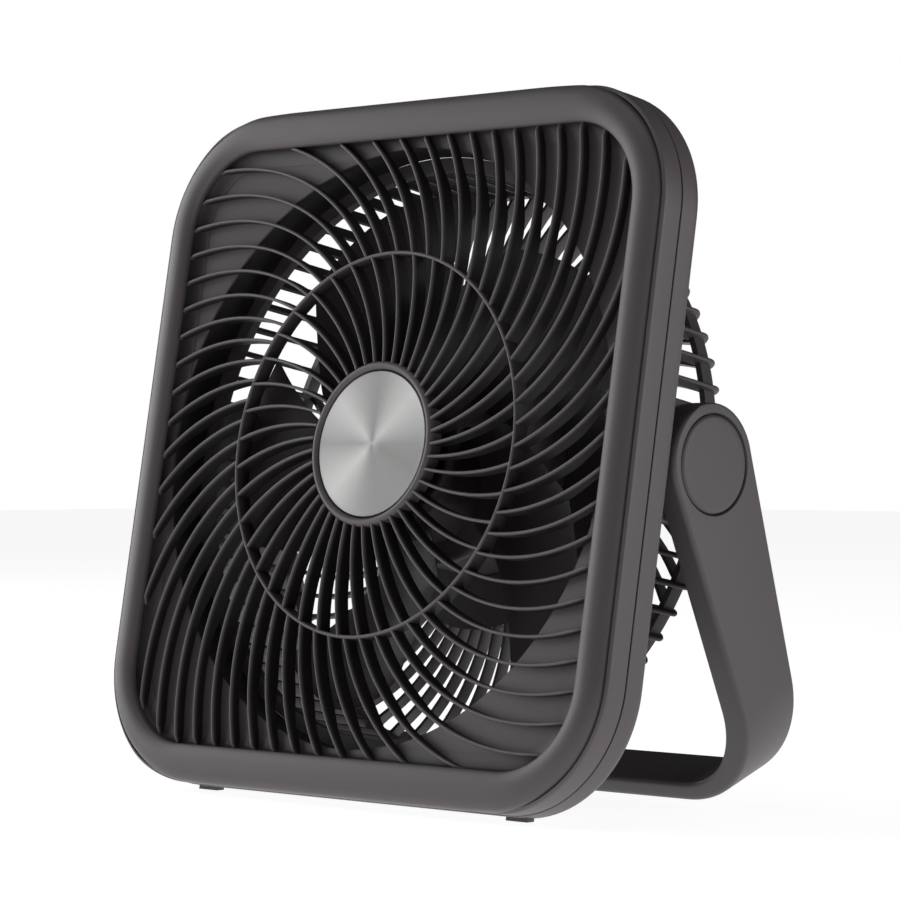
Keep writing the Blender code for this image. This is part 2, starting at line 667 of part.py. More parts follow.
def stand_path():
    """(outer point, inner point, half width) from the right arm's round end to the middle of the bar.

    Points are (across, down from the pivot)."""
    path = []
    for angle in (80, 60, 40, 20):
        turn = math.radians(angle)
        down = -ARM_END_RADIUS * math.sin(turn)
        path.append(((ARM_OUTER, down), (ARM_OUTER - ARM_THICK, down), ARM_END_RADIUS * math.cos(turn)))
    bend = STAND_LENGTH - STAND_CORNER
    for down in (0.0, 0.034, 0.068, bend):
        path.append(((ARM_OUTER, down), (ARM_OUTER - ARM_THICK, down), arm_half_width(down)))
    inner_x = STAND_CORNER - ARM_THICK
    inner_down = STAND_CORNER - BAR_THICK
    for step in range(1, 7):
        turn = math.pi / 2 * step / 6
        centre_x = ARM_OUTER - STAND_CORNER
        outer = (centre_x + STAND_CORNER * math.cos(turn), bend + STAND_CORNER * math.sin(turn))
        inner = (centre_x + inner_x * math.cos(turn), bend + inner_down * math.sin(turn))
        path.append((outer, inner, arm_half_width(outer[1])))
    return path


def add_stand(parent):
    edge = 0.0015
    half_path = stand_path()
    mirrored = [((-o[0], o[1]), (-i[0], i[1]), w) for o, i, w in reversed(half_path)]
    loops = []
    for outer, inner, width in half_path + mirrored:
        out, ins = Vector(outer), Vector(inner)
        across = (ins - out).normalized() * edge
        small = min(edge, width * 0.4)
        points = ((out + across, width), (out, width - small), (out, small - width), (out + across, -width),
                  (ins - across, -width), (ins, small - width), (ins, width - small), (ins - across, width))
        loops.append([(point.x, y, -point.y) for point, y in points])
    stand = add_object("stand_frame", loft(loops), PLASTIC, parent)
    for side, word in ((1, "right"), (-1, "left")):
        def along_x(profile, count=28):
            return onto_x(turned([(r, side * x) for r, x in profile], count))
        bore = along_x([(PIVOT_HOLE, 0.135), (PIVOT_HOLE, 0.1430), (0.0116, 0.1430), (0.0116, 0.1468),
                        (CAP_RADIUS + 0.0004, 0.1468), (CAP_RADIUS + 0.0004, 0.152)])
        combine(stand, add_object("stand_bore_" + word, bore, None, parent, helper=True), "DIFFERENCE")
        cap = along_x([(CAP_RADIUS, 0.1472), (CAP_RADIUS, 0.1493), (CAP_RADIUS - 0.0006, ARM_OUTER)])
        add_object("pivot_cap_" + word, cap, PLASTIC, parent)
        low = -STAND_LENGTH
        x = sorted((side * (0.018 - GAP), side * (0.042 + GAP)))
        recess = box((x[0], -0.0135 - GAP, -0.160), (x[1], -0.0095 + GAP, low + 0.0012))
        combine(stand, add_object("bar_recess_" + word, recess, None, parent, helper=True), "DIFFERENCE")
        foot = [(-0.0135, low + 0.0009), (-0.0095, low + 0.0009)]
        foot += [(y, stand_floor(y)) for y in (-0.0095, -0.0135)]
        loops = [[(side * x, y, z) for y, z in foot] for x in (0.018, 0.042)]
        add_object("stand_foot_" + word, loft(loops), RUBBER, parent)


def stand_floor(y):
    """Height in the stand's frame of the floor under a depth y."""
    turn = STAND_SWING - LEAN
    drop = FLOOR_DROP - PIVOT_DEPTH * math.sin(LEAN)
    return -(drop + y * math.sin(turn)) / math.cos(turn)


def add_pivots(parent):
    for side, word in ((1, "right"), (-1, "left")):
        bolt = [(0.0060, 0.1322), (0.0060, 0.1434), (0.0110, 0.1434), (0.0110, 0.1458), (0.0098, 0.1465)]
        bolt = onto_x(turned([(r, side * x) for r, x in bolt], 20, (-PIVOT_DEPTH, 0.0)))
        add_object("pivot_bolt_" + word, bolt, STEEL, parent)
        washer = [(0.0064, 0.1366), (0.0170, 0.1366), (0.0170, 0.1375), (0.0064, 0.1375)]
        washer = onto_x(turned([(r, side * x) for r, x in washer], 20, (-PIVOT_DEPTH, 0.0), ring=True))
        add_object("friction_washer_" + word, washer, RUBBER, parent)


def main():
    clear_scene()
    fan_frame = add_empty("fan_frame", None, (0, -BOX_MIDDLE, FLOOR_DROP), -LEAN)
    rotor_axis = add_empty("rotor_axis", fan_frame)
    knob_axis = add_empty("knob_axis", fan_frame, (0, COVER_BACK, 0))
    stand_pivot = add_empty("stand_pivot", fan_frame, (0, PIVOT_DEPTH, 0), STAND_SWING)
    add_bezel(fan_frame)
    add_grille(fan_frame)
    add_badge(fan_frame)
    add_front_shell(fan_frame)
    add_air_duct(fan_frame)
    add_rear_shell(fan_frame)
    add_case_screws(fan_frame)
    add_cage(fan_frame)
    add_rotor(rotor_axis)
    add_stator(fan_frame)
    add_motor_base(fan_frame)
    add_pod(fan_frame)
    add_battery(fan_frame)
    add_controls(fan_frame, knob_axis)
    add_pivots(fan_frame)
    add_stand(stand_pivot)


main()
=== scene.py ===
import json
import math
import bmesh
import bpy
import numpy as np
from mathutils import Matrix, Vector


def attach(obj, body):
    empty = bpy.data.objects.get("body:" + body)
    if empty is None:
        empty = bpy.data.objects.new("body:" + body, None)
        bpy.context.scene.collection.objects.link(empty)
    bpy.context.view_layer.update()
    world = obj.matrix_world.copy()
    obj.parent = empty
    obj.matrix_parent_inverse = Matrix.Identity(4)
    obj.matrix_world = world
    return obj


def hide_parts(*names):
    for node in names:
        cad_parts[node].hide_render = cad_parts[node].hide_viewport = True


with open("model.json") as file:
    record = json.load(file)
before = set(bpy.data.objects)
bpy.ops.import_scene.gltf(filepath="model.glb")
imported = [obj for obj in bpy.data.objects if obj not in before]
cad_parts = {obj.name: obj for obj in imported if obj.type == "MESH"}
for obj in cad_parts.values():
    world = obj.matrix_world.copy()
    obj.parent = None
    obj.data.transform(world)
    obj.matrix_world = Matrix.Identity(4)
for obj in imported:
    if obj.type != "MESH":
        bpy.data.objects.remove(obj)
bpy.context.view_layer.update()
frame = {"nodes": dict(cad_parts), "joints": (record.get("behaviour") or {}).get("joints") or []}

joints = {joint["name"]: joint for joint in frame["joints"]}
shaftPoint = np.array(joints["rotor_spin"]["pos_m"])
backward = np.array(joints["rotor_spin"]["axis"])
upward = np.cross((1.0, 0.0, 0.0), backward)


def fanPlace(points):  # x along X, y along the shaft, z up the casing, from the middle of the front
    points = np.asarray(points, float)
    return shaftPoint + points[..., :1] * (1, 0, 0) + points[..., 1:2] * backward + points[..., 2:3] * upward


casing = dict(halfWide=0.150, halfHigh=0.152, corner=0.055, highRate=1.075, cornerRate=1.12)


def smooth(t):  # 0 below 0, 1 above 1, 3t^2 - 2t^3 between
    t = np.clip(t, 0, 1)
    return t * t * (3 - 2 * t)


def flowing(points, steps):  # Catmull-Rom curve through the points, steps to a span
    points = np.asarray(points, float)
    ends = np.vstack([2 * points[0] - points[1], points, 2 * points[-1] - points[-2]])
    a, b, c, d = ends[:-3, None], ends[1:-2, None], ends[2:-1, None], ends[3:, None]
    t = (np.arange(steps) / steps)[None, :, None]
    curve = b + 0.5 * t * (c - a + t * (2 * a - 5 * b + 4 * c - d + t * (3 * (b - c) + d - a)))
    return np.vstack([curve.reshape(-1, points.shape[1]), points[-1:]])


def rounded(points, radius, steps=4):
    # a polyline whose inner corners become quarter-like arcs of about that radius
    points = np.asarray(points, float)
    radii = np.broadcast_to(radius, len(points))
    out = [points[0]]
    for near, here, far, size in zip(points, points[1:], points[2:], radii[1:]):
        back, on = near - here, far - here
        reach = min(size, np.linalg.norm(back) * 0.49, np.linalg.norm(on) * 0.49)
        start, end = here + back / np.linalg.norm(back) * reach, here + on / np.linalg.norm(on) * reach
        t = np.linspace(0, 1, steps + 1)[:, None]
        out.extend((1 - t) ** 2 * start + 2 * t * (1 - t) * here + t ** 2 * end)
    out.append(points[-1])
    return np.array(out)


def caseReach(angles, inset):  # distance to the rounded square of an inset along each angle
    inset = np.asarray(inset, float)
    halfX = casing["halfWide"] - inset
    halfZ = casing["halfHigh"] - casing["highRate"] * inset
    radius = casing["corner"] - casing["cornerRate"] * inset
    across, up = np.abs(np.cos(angles)), np.abs(np.sin(angles))
    side, top = halfX / np.maximum(across, 1e-9), halfZ / np.maximum(up, 1e-9)
    along = (halfX - radius) * across + (halfZ - radius) * up
    square = along ** 2 - (halfX - radius) ** 2 - (halfZ - radius) ** 2 + radius ** 2
    corner = along + np.sqrt(np.maximum(square, 0))
    return np.where(side * up <= halfZ - radius, side, np.where(top * across <= halfX - radius, top, corner))


def makePiece(name, grids, material, body, joinRows=False, sharp=40, wear=None, deep=None):
    # grids is (bodies, rows, columns, 3); columns close on themselves, rows close or end in caps
    grids = np.asarray(grids, float)
    if grids.ndim == 3:
        grids = grids[None]
    count, rows, columns = grids.shape[:3]
    index = np.arange(count * rows * columns).reshape(count, rows, columns)
    ahead = np.roll(index, -1, axis=2)
    if joinRows:
        below, belowAhead = np.roll(index, -1, axis=1), np.roll(ahead, -1, axis=1)
    else:
        index, ahead, below, belowAhead = index[:, :-1], ahead[:, :-1], index[:, 1:], ahead[:, 1:]
    faces = np.stack([index, ahead, belowAhead, below], -1).reshape(-1, 4).tolist()
    if not joinRows:
        whole = np.arange(count * rows * columns).reshape(count, rows, columns)
        faces += whole[:, 0, ::-1].tolist() + whole[:, -1].tolist()
    mesh = bpy.data.meshes.new(name)
    mesh.from_pydata(fanPlace(grids.reshape(-1, 3)), [], faces)
    piece = bpy.data.objects.new(name, mesh)
    bpy.context.scene.collection.objects.link(piece)
    # wear pales the colour at rubbed edges; deep is painted shade, which darkens the colour in recesses and on surfaces
    # turned from the light
    for word, amount in (("wear", wear), ("deep", deep)):
        if amount is not None:
            spread = np.broadcast_to(amount, (count, rows, columns)).reshape(-1)
            mesh.attributes.new(word, "FLOAT", "POINT").data.foreach_set("value", spread.astype(np.float32))
    finishMesh(mesh, sharp)
    mesh.materials.append(material)
    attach(piece, body)
    return piece


def finishMesh(mesh, sharp):  # merge, close and turn every shell outwards, then shade it
    builder = bmesh.new()
    builder.from_mesh(mesh)
    bmesh.ops.remove_doubles(builder, verts=builder.verts, dist=1e-6)
    bmesh.ops.recalc_face_normals(builder, faces=builder.faces)
    builder.to_mesh(mesh)
    builder.free()
    mesh.shade_smooth()
    mesh.set_sharp_from_angle(angle=math.radians(sharp))


def turned(profile, count=160, centre=(0, 0)):  # (radius, depth) points carried round a line along y
    profile = np.asarray(profile, float)
    angles = np.linspace(0, 2 * np.pi, count, endpoint=False)
    x = centre[0] + profile[:, :1] * np.cos(angles)
    z = centre[1] + profile[:, :1] * np.sin(angles)
    return np.stack([x, np.broadcast_to(profile[:, 1:2], x.shape), z], -1)


def aroundShaft(reach, depth, angles):  # points at those distances, depths and angles about the shaft
    x = reach * np.cos(angles)
    return np.stack([x, np.broadcast_to(depth, x.shape), reach * np.sin(angles)], -1)


def aroundCase(profile, count=360, shift=None):  # (inset, depth) points carried round the rounded square
    profile = np.asarray(profile, float)
    angles = np.linspace(0, 2 * np.pi, count, endpoint=False)
    inset, depth = profile[:, :1] + 0 * angles, profile[:, 1:2] + 0 * angles
    if shift:
        inset, depth = shift(inset, depth, smooth((np.abs(np.sin(angles)) - 0.74) / 0.16))
    return aroundShaft(caseReach(angles[None], inset), depth, angles)


def boxShape(low, high, edge, steps=3):  # a box with rounded edges, as stacked rounded loops
    low, high = np.asarray(low, float), np.asarray(high, float)
    middle, half = (low + high) / 2, (high - low) / 2
    lift = np.linspace(0, np.pi / 2, steps + 1)
    stations = [(edge * (1 - np.sin(a)), -half[1] + edge * (1 - np.cos(a))) for a in lift]
    stations += [(inset, -depth) for inset, depth in stations[::-1]]
    corner = np.linspace(0, np.pi / 2, steps + 1)
    loops = []
    for inset, depth in stations:
        ring = []
        for quarter, (sx, sz) in enumerate(((1, 1), (-1, 1), (-1, -1), (1, -1))):
            turn = corner + quarter * np.pi / 2
            size = max(edge - inset, 1e-5)
            x = sx * (half[0] - edge) + size * np.cos(turn)
            z = sz * (half[2] - edge) + size * np.sin(turn)
            ring.append(np.stack([x, np.full_like(turn, depth), z], -1))
        loops.append(np.vstack(ring) + middle)
    return np.array(loops)


def cutAway(piece, grids):  # takes closed shapes out of a piece and leaves a plain mesh
    cutter = bpy.data.objects.new("cutter", bpy.data.meshes.new("cutter"))
    bpy.context.scene.collection.objects.link(cutter)
    verts, faces = [], []
    for grid in grids:
        start, (rows, columns) = sum(len(v) for v in verts), grid.shape[:2]
        index = np.arange(rows * columns).reshape(rows, columns) + start
        ahead = np.roll(index, -1, axis=1)
        quads = np.stack([index[:-1], ahead[:-1], ahead[1:], index[1:]], -1).reshape(-1, 4)
        faces += quads.tolist() + [index[0, ::-1].tolist(), index[-1].tolist()]
        verts.append(fanPlace(grid.reshape(-1, 3)))
    cutter.data.from_pydata(np.vstack(verts), [], faces)
    finishMesh(cutter.data, 40)
    bpy.context.view_layer.update()
    modifier = piece.modifiers.new("cut", "BOOLEAN")
    modifier.object = cutter
    modifier.solver = "EXACT"
    solid = bpy.data.meshes.new_from_object(piece.evaluated_get(bpy.context.evaluated_depsgraph_get()))
    piece.modifiers.clear()
    piece.data = solid
    bpy.data.objects.remove(cutter)


def newMaterial(name):
    material = bpy.data.materials.new(name)
    material.use_nodes = True
    return material, material.node_tree.nodes, material.node_tree.links


def roughFrom(source, low, high, shader, nodes, links):  # roughness that runs from low to high with a texture
    gloss = nodes.new("ShaderNodeMapRange")
    gloss.inputs["To Min"].default_value = low
    gloss.inputs["To Max"].default_value = high
    links.new(source, gloss.inputs["Value"])
    links.new(gloss.outputs["Result"], shader.inputs["Roughness"])


def bumpFrom(source, strength, distance, shader, nodes, links):  # fine relief from a texture
    bump = nodes.new("ShaderNodeBump")
    bump.inputs["Strength"].default_value = strength
    bump.inputs["Distance"].default_value = distance
    links.new(source, bump.inputs["Height"])
    links.new(bump.outputs["Normal"], shader.inputs["Normal"])


def mouldedPlastic(name, look):
    # moulded plastic: a fine spark-eroded grain, broad cloudy changes of gloss and colour, paler worn edges, and
    # painted shade that darkens the colour where the deep attribute is set
    material, nodes, links = newMaterial(name)
    shader = nodes["Principled BSDF"]
    shader.inputs["IOR"].default_value = look.get("ior", 1.46)
    place = nodes.new("ShaderNodeTexCoord")
    cloud = nodes.new("ShaderNodeTexNoise")
    cloud.inputs["Scale"].default_value = look.get("cloudScale", 18.0)
    cloud.inputs["Detail"].default_value = 5.0
    grain = nodes.new("ShaderNodeTexNoise")
    grain.inputs["Scale"].default_value = look.get("grainScale", 1600.0)
    grain.inputs["Detail"].default_value = 3.0
    links.new(place.outputs["Object"], cloud.inputs["Vector"])
    links.new(place.outputs["Object"], grain.inputs["Vector"])
    tint = nodes.new("ShaderNodeMixRGB")
    base = np.array(look["colour"])
    tint.inputs["Color1"].default_value = (*(base * (1 - look.get("mottle", 0.05))), 1)
    tint.inputs["Color2"].default_value = (*(base * (1 + look.get("mottle", 0.05))), 1)
    links.new(cloud.outputs["Fac"], tint.inputs["Fac"])
    worn = nodes.new("ShaderNodeAttribute")
    worn.attribute_name = "wear"
    patchy = nodes.new("ShaderNodeMath")
    patchy.operation = "MULTIPLY"
    links.new(worn.outputs["Fac"], patchy.inputs[0])
    links.new(cloud.outputs["Fac"], patchy.inputs[1])
    pale = nodes.new("ShaderNodeMixRGB")
    pale.inputs["Color2"].default_value = (*(base * look.get("wornGain", 1.35)), 1)
    links.new(patchy.outputs["Value"], pale.inputs["Fac"])
    links.new(tint.outputs["Color"], pale.inputs["Color1"])
    # painted shade: the colour falls towards 0.16 of itself where the deep attribute reaches 1
    sunk = nodes.new("ShaderNodeAttribute")
    sunk.attribute_name = "deep"
    paintedShade = nodes.new("ShaderNodeMixRGB")
    paintedShade.inputs["Color2"].default_value = (*(base * look.get("deepGain", 0.16)), 1)
    links.new(sunk.outputs["Fac"], paintedShade.inputs["Fac"])
    links.new(pale.outputs["Color"], paintedShade.inputs["Color1"])
    links.new(paintedShade.outputs["Color"], shader.inputs["Base Color"])
    roughFrom(cloud.outputs["Fac"], look["rough"] - 0.05, look["rough"] + 0.05, shader, nodes, links)
    bumpFrom(grain.outputs["Fac"], look.get("grain", 0.12), 0.0002, shader, nodes, links)
    return material


def machinedMetal(name, look):
    # metal: fine scratches and a cloudy change of roughness over one colour
    material, nodes, links = newMaterial(name)
    shader = nodes["Principled BSDF"]
    shader.inputs["Metallic"].default_value = look.get("metallic", 1.0)
    place = nodes.new("ShaderNodeTexCoord")
    stretch = nodes.new("ShaderNodeMapping")
    stretch.inputs["Scale"].default_value = look.get("stretch", (1, 1, 1))
    noise = nodes.new("ShaderNodeTexNoise")
    noise.inputs["Scale"].default_value = look.get("scale", 900.0)
    noise.inputs["Detail"].default_value = 6.0
    links.new(place.outputs["Object"], stretch.inputs["Vector"])
    links.new(stretch.outputs["Vector"], noise.inputs["Vector"])
    tint = nodes.new("ShaderNodeMixRGB")
    base = np.array(look["colour"])
    tint.inputs["Color1"].default_value = (*(base * 0.88), 1)
    tint.inputs["Color2"].default_value = (*np.minimum(base * 1.08, 1), 1)
    links.new(noise.outputs["Fac"], tint.inputs["Fac"])
    links.new(tint.outputs["Color"], shader.inputs["Base Color"])
    roughFrom(noise.outputs["Fac"], look["rough"] * 0.75, look["rough"] * 1.3, shader, nodes, links)
    bumpFrom(noise.outputs["Fac"], look.get("bump", 0.1), 0.0001, shader, nodes, links)
    return material


def spunMetal(name, look):
    # a turned disc: hair lines in circles from the ring attribute, and soft fans of painted sheen that brighten and
    # darken the colour by angle round the disc
    material, nodes, links = newMaterial(name)
    shader = nodes["Principled BSDF"]
    shader.inputs["Metallic"].default_value = 1.0
    shader.inputs["Anisotropic"].default_value = 0.85
    ring = nodes.new("ShaderNodeAttribute")
    ring.attribute_name = "ring"
    lines = nodes.new("ShaderNodeTexNoise")
    lines.noise_dimensions = "1D"
    lines.inputs["Scale"].default_value = look["lineScale"]
    lines.inputs["Detail"].default_value = 4.0
    links.new(ring.outputs["Fac"], lines.inputs["W"])
    tint = nodes.new("ShaderNodeMixRGB")
    base = np.array(look["colour"])
    tint.inputs["Color1"].default_value = (*(base * 0.82), 1)
    tint.inputs["Color2"].default_value = (*np.minimum(base * 1.12, 1), 1)
    links.new(lines.outputs["Fac"], tint.inputs["Fac"])
    # painted sheen: the colour is multiplied by this attribute's gain, so it is brighter in some fans and darker in
    # others
    sheenFans = nodes.new("ShaderNodeAttribute")
    sheenFans.attribute_name = "sheenFans"
    shine = nodes.new("ShaderNodeMixRGB")
    shine.blend_type = "MULTIPLY"
    shine.inputs["Fac"].default_value = 1.0
    links.new(tint.outputs["Color"], shine.inputs["Color1"])
    links.new(sheenFans.outputs["Fac"], shine.inputs["Color2"])
    links.new(shine.outputs["Color"], shader.inputs["Base Color"])
    roughFrom(lines.outputs["Fac"], look["rough"] - 0.06, look["rough"] + 0.08, shader, nodes, links)
    bumpFrom(lines.outputs["Fac"], 0.12, 0.0001, shader, nodes, links)
    spin = nodes.new("ShaderNodeTangent")
    spin.direction_type = "UV_MAP"
    spin.uv_map = "spin"
    links.new(spin.outputs["Tangent"], shader.inputs["Tangent"])
    return material


plasticLooks = dict(
    case=dict(colour=(0.093, 0.081, 0.085), rough=0.46, grain=0.10),
    grille=dict(colour=(0.100, 0.086, 0.090), rough=0.46, grain=0.06, wornGain=1.25),
    # painted shade: duct, cage and rotor are darker than the case plastic because they sit inside the casing, where
    # shade falls
    duct=dict(colour=(0.068, 0.058, 0.060), rough=0.5, grain=0.08),
    cage=dict(colour=(0.058, 0.049, 0.051), rough=0.48, grain=0.06),
    stand=dict(colour=(0.078, 0.068, 0.072), rough=0.46, grain=0.12),
    rotor=dict(colour=(0.024, 0.018, 0.017), rough=0.42, grain=0.04),
    rubber=dict(colour=(0.110, 0.097, 0.101), rough=0.85, grain=0.35, grainScale=900.0, ior=1.4),
    inner=dict(colour=(0.03, 0.03, 0.032), rough=0.55),
    board=dict(colour=(0.02, 0.12, 0.055), rough=0.4, mottle=0.2, cloudScale=220.0),
    sleeve=dict(colour=(0.05, 0.16, 0.36), rough=0.35, mottle=0.08),
    lens=dict(colour=(0.72, 0.80, 0.76), rough=0.25, grain=0.03, mottle=0.03),
)
metalLooks = dict(
    steel=dict(colour=(0.52, 0.52, 0.53), rough=0.3),
    blackScrew=dict(colour=(0.09, 0.09, 0.095), rough=0.42),
    core=dict(colour=(0.26, 0.26, 0.28), rough=0.4, stretch=(1, 30, 1)),
    copper=dict(colour=(0.62, 0.28, 0.13), rough=0.35, scale=700.0, bump=0.3),
    magnet=dict(colour=(0.10, 0.10, 0.105), rough=0.6, metallic=0.6),
    socket=dict(colour=(0.55, 0.55, 0.56), rough=0.25),
)
plastics = {key: mouldedPlastic(key + "Plastic", look) for key, look in plasticLooks.items()}
metals = {key: machinedMetal(key + "Metal", look) for key, look in metalLooks.items()}
print("materials ready")


bezel = dict(  # (inset, depth) points of its section
    skin=[(0.0158, 0.0006), (0.0153, -0.0004), (0.0138, -0.0013), (0.0113, -0.0019), (0.0085, -0.0018),
          (0.0056, -0.0010), (0.0035, 0.0004), (0.0025, 0.0018), (0.0021, 0.0036), (0.0020, 0.0057)],
    inside=[(0.0040, 0.0057), (0.0052, 0.0024), (0.0085, 0.0006), (0.0130, 0.0010), (0.0157, 0.0024)],
    overrun=0.0019)


def fullHeight(inset, depth, upright):  # at the top and bottom its outer edge runs out over the band
    return inset - bezel["overrun"] * upright * smooth((0.0105 - inset) / 0.006), depth


def tuckedEdge(inset, depth, upright):  # and there the band starts behind it
    return inset + 0.0004 * upright, depth + 0.0042 * upright * smooth((0.0060 - depth) / 0.002)


def makeBezel():
    skin = flowing(bezel["skin"], 5)
    profile = np.vstack([skin, flowing(bezel["inside"], 3)])
    wear = np.zeros(len(profile))
    wear[:6] = 0.8
    grid = aroundCase(profile, shift=fullHeight)
    piece = makePiece("frontBezel", grid, plastics["case"], "casing", joinRows=True, wear=wear[:, None])
    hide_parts("front_bezel")


grille = dict(hubRing=0.0361, badge=0.0321, middleRing=0.08375, ringHalf=0.0008, ribHalf=0.00072,
              innerRibs=41, outerRibs=56, front=0.0010, back=0.0084, rimBack=0.0060, rimInset=0.0159)


def spiralTurn(radius):  # angle swept by a rib: 0.215 and 0.00072 degrees by the distance run and its square
    run = (radius - grille["hubRing"]) * 1000
    return np.radians(0.215 * run + 0.00072 * run ** 2)


def spiralRibs(name, count, first, last, steps):
    # ribs that sweep out on the spiral. first and last are radii, last one for each rib
    starts = np.arange(count) * 2 * np.pi / count
    t = np.linspace(0, 1, steps)
    radius = first + (last[:, None] - first) * t
    angle = starts[:, None] + spiralTurn(radius)
    x, z = radius * np.cos(angle), radius * np.sin(angle)
    dx, dz = np.gradient(x, axis=1), np.gradient(z, axis=1)
    size = np.hypot(dx, dz)
    acrossX, acrossZ = -dz / size, dx / size
    half = grille["ribHalf"]
    nose = np.linspace(-np.pi / 2, np.pi / 2, 7)
    width = np.concatenate([half * np.sin(nose), [half * 0.95, half * 0.8, -half * 0.8, -half * 0.95]])
    ends = last[:, None] - radius
    dive = 0.0020 * smooth(1 - ends / 0.0022) if name == "outerRibs" else 0 * radius
    front = grille["front"] + dive
    back = grille["back"] - (grille["back"] - grille["rimBack"]) * smooth((radius - 0.112) / 0.016)
    noseDepth = half * 1.1 * (1 - np.cos(nose))
    shoulder, heel = front[..., None] + 0.0022, np.repeat(back[..., None], 2, axis=-1)
    depth = np.concatenate([front[..., None] + noseDepth, shoulder, heel, shoulder], axis=-1)
    wideX, wideZ = acrossX[..., None] * width, acrossZ[..., None] * width
    grid = np.stack([x[..., None] + wideX, depth, z[..., None] + wideZ], -1)
    wear = np.concatenate([np.sin(np.linspace(0, np.pi, 7)) * 0.5, [0, 0, 0, 0]])
    # painted shade: the rib's sides and back are darkened, and its rounded nose keeps its colour
    deep = np.concatenate([[0.35], np.zeros(5), [0.35, 1, 1, 1, 1]])
    piece = makePiece(name, grid, plastics["grille"], "casing", sharp=50,
                      wear=wear[None, None], deep=deep[None, None])
    return piece


def rimRadii():  # where each outer rib's middle meets the rim, found by halving
    starts = np.arange(grille["outerRibs"]) * 2 * np.pi / grille["outerRibs"]
    low, high = np.full(len(starts), 0.125), np.full(len(starts), 0.185)
    for _ in range(40):
        middle = (low + high) / 2
        inside = caseReach(starts + spiralTurn(middle), grille["rimInset"]) > middle
        low, high = np.where(inside, middle, low), np.where(inside, high, middle)
    return low


def makeGrille():
    ringOut = grille["middleRing"] - grille["ringHalf"] + 0.0003
    inner = spiralRibs("innerRibs", grille["innerRibs"], grille["hubRing"] - 0.0004,
                       np.full(grille["innerRibs"], ringOut), 14)
    outer = spiralRibs("outerRibs", grille["outerRibs"], grille["middleRing"] + grille["ringHalf"] - 0.0003,
                       rimRadii() + 0.0012, 26)
    ringHalf, front, back = grille["ringHalf"], grille["front"], grille["back"]
    nose = [(grille["middleRing"] + ringHalf * math.sin(a), front - 0.00015 + ringHalf * (1 - math.cos(a)))
            for a in np.linspace(-math.pi / 2, math.pi / 2, 9)]
    ring = nose + [(grille["middleRing"] + side * ringHalf * 0.8, back) for side in (1, -1)]
    # painted shade: the ring's back is darkened, and its rounded nose keeps its colour
    deep = np.concatenate([[0.5], np.zeros(7), [0.5, 1, 1]])[:, None]
    grid = turned(ring, 240)
    middle = makePiece("middleRing", grid, plastics["grille"], "casing", joinRows=True, deep=deep)
    hub = grille["hubRing"]
    wall = grille["badge"] + 0.0005
    profile = [(0.0003, back), (hub - 0.0006, back), (hub, back - 0.0006), (hub, front + 0.001),
               (hub - 0.0009, front - 0.0001), (wall + 0.0011, front - 0.0002), (wall, front + 0.0007),
               (wall, 0.0034), (0.0003, 0.0034)]
    ringProfile = rounded(profile, 0.0008, 5)
    hubRing = makePiece("hubRing", turned(ringProfile, 200), plastics["grille"], "casing")
    for piece in (inner, outer, middle, hubRing, makeRim()):
        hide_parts("front_grille")


rim = dict(outerInset=0.0075, footInset=0.0225, throat=0.1312, front=0.0026, back=0.0060, curve=0.45)


def makeRim():
    # the rim under the bezel and the hollow cove that runs from it down to the ledge or the throat
    angles = np.linspace(0, 2 * np.pi, 360, endpoint=False)
    front, back = rim["front"], rim["back"]
    outer = caseReach(angles, rim["outerInset"])
    lip = caseReach(angles, grille["rimInset"] - 0.0004)
    foot = np.maximum(caseReach(angles, rim["footInset"]), rim["throat"])
    run = np.linspace(0, 1, 10)[:, None]
    cove = lip + (foot - lip) * run
    coveDepth = front + (back - front) * np.sin(run * np.pi / 2) ** rim["curve"] + 0 * cove
    reach = np.vstack([outer[None], outer[None], lip[None], cove[1:], foot[None]])
    level = 0 * outer[None]
    depth = np.vstack([level + back, level + front, level + front, coveDepth[1:], level + back + 0.0001])
    grid = aroundShaft(reach, depth, angles)
    # painted shade: darkest just under the lip, fading to nothing across the cove before the foot
    deep = np.concatenate([[0, 0, 1], 1 - smooth(run[1:, 0] * 1.2), [0]])
    piece = makePiece("grilleRim", grid, plastics["duct"], "casing", joinRows=True, deep=deep[:, None])
    return piece


badge = dict(
    radius=0.0321, front=0.0019, back=0.0032, colour=(0.36, 0.36, 0.357), rough=0.46, lineScale=9000.0,
    fanAngles=[0, 22, 45, 68, 90, 112, 140, 162, 180, 202, 225, 248, 270, 292, 315, 338, 360],  # in degrees
    # painted sheen: gains on the disc's colour at the angles above, standing in for the brushed highlights
    fanSheen=[0.62, 0.9, 1.3, 1.25, 1.05, 1.2, 1.35, 1.0, 0.72, 1.0, 1.4, 1.3, 1.15, 0.95, 0.75, 0.6, 0.62])


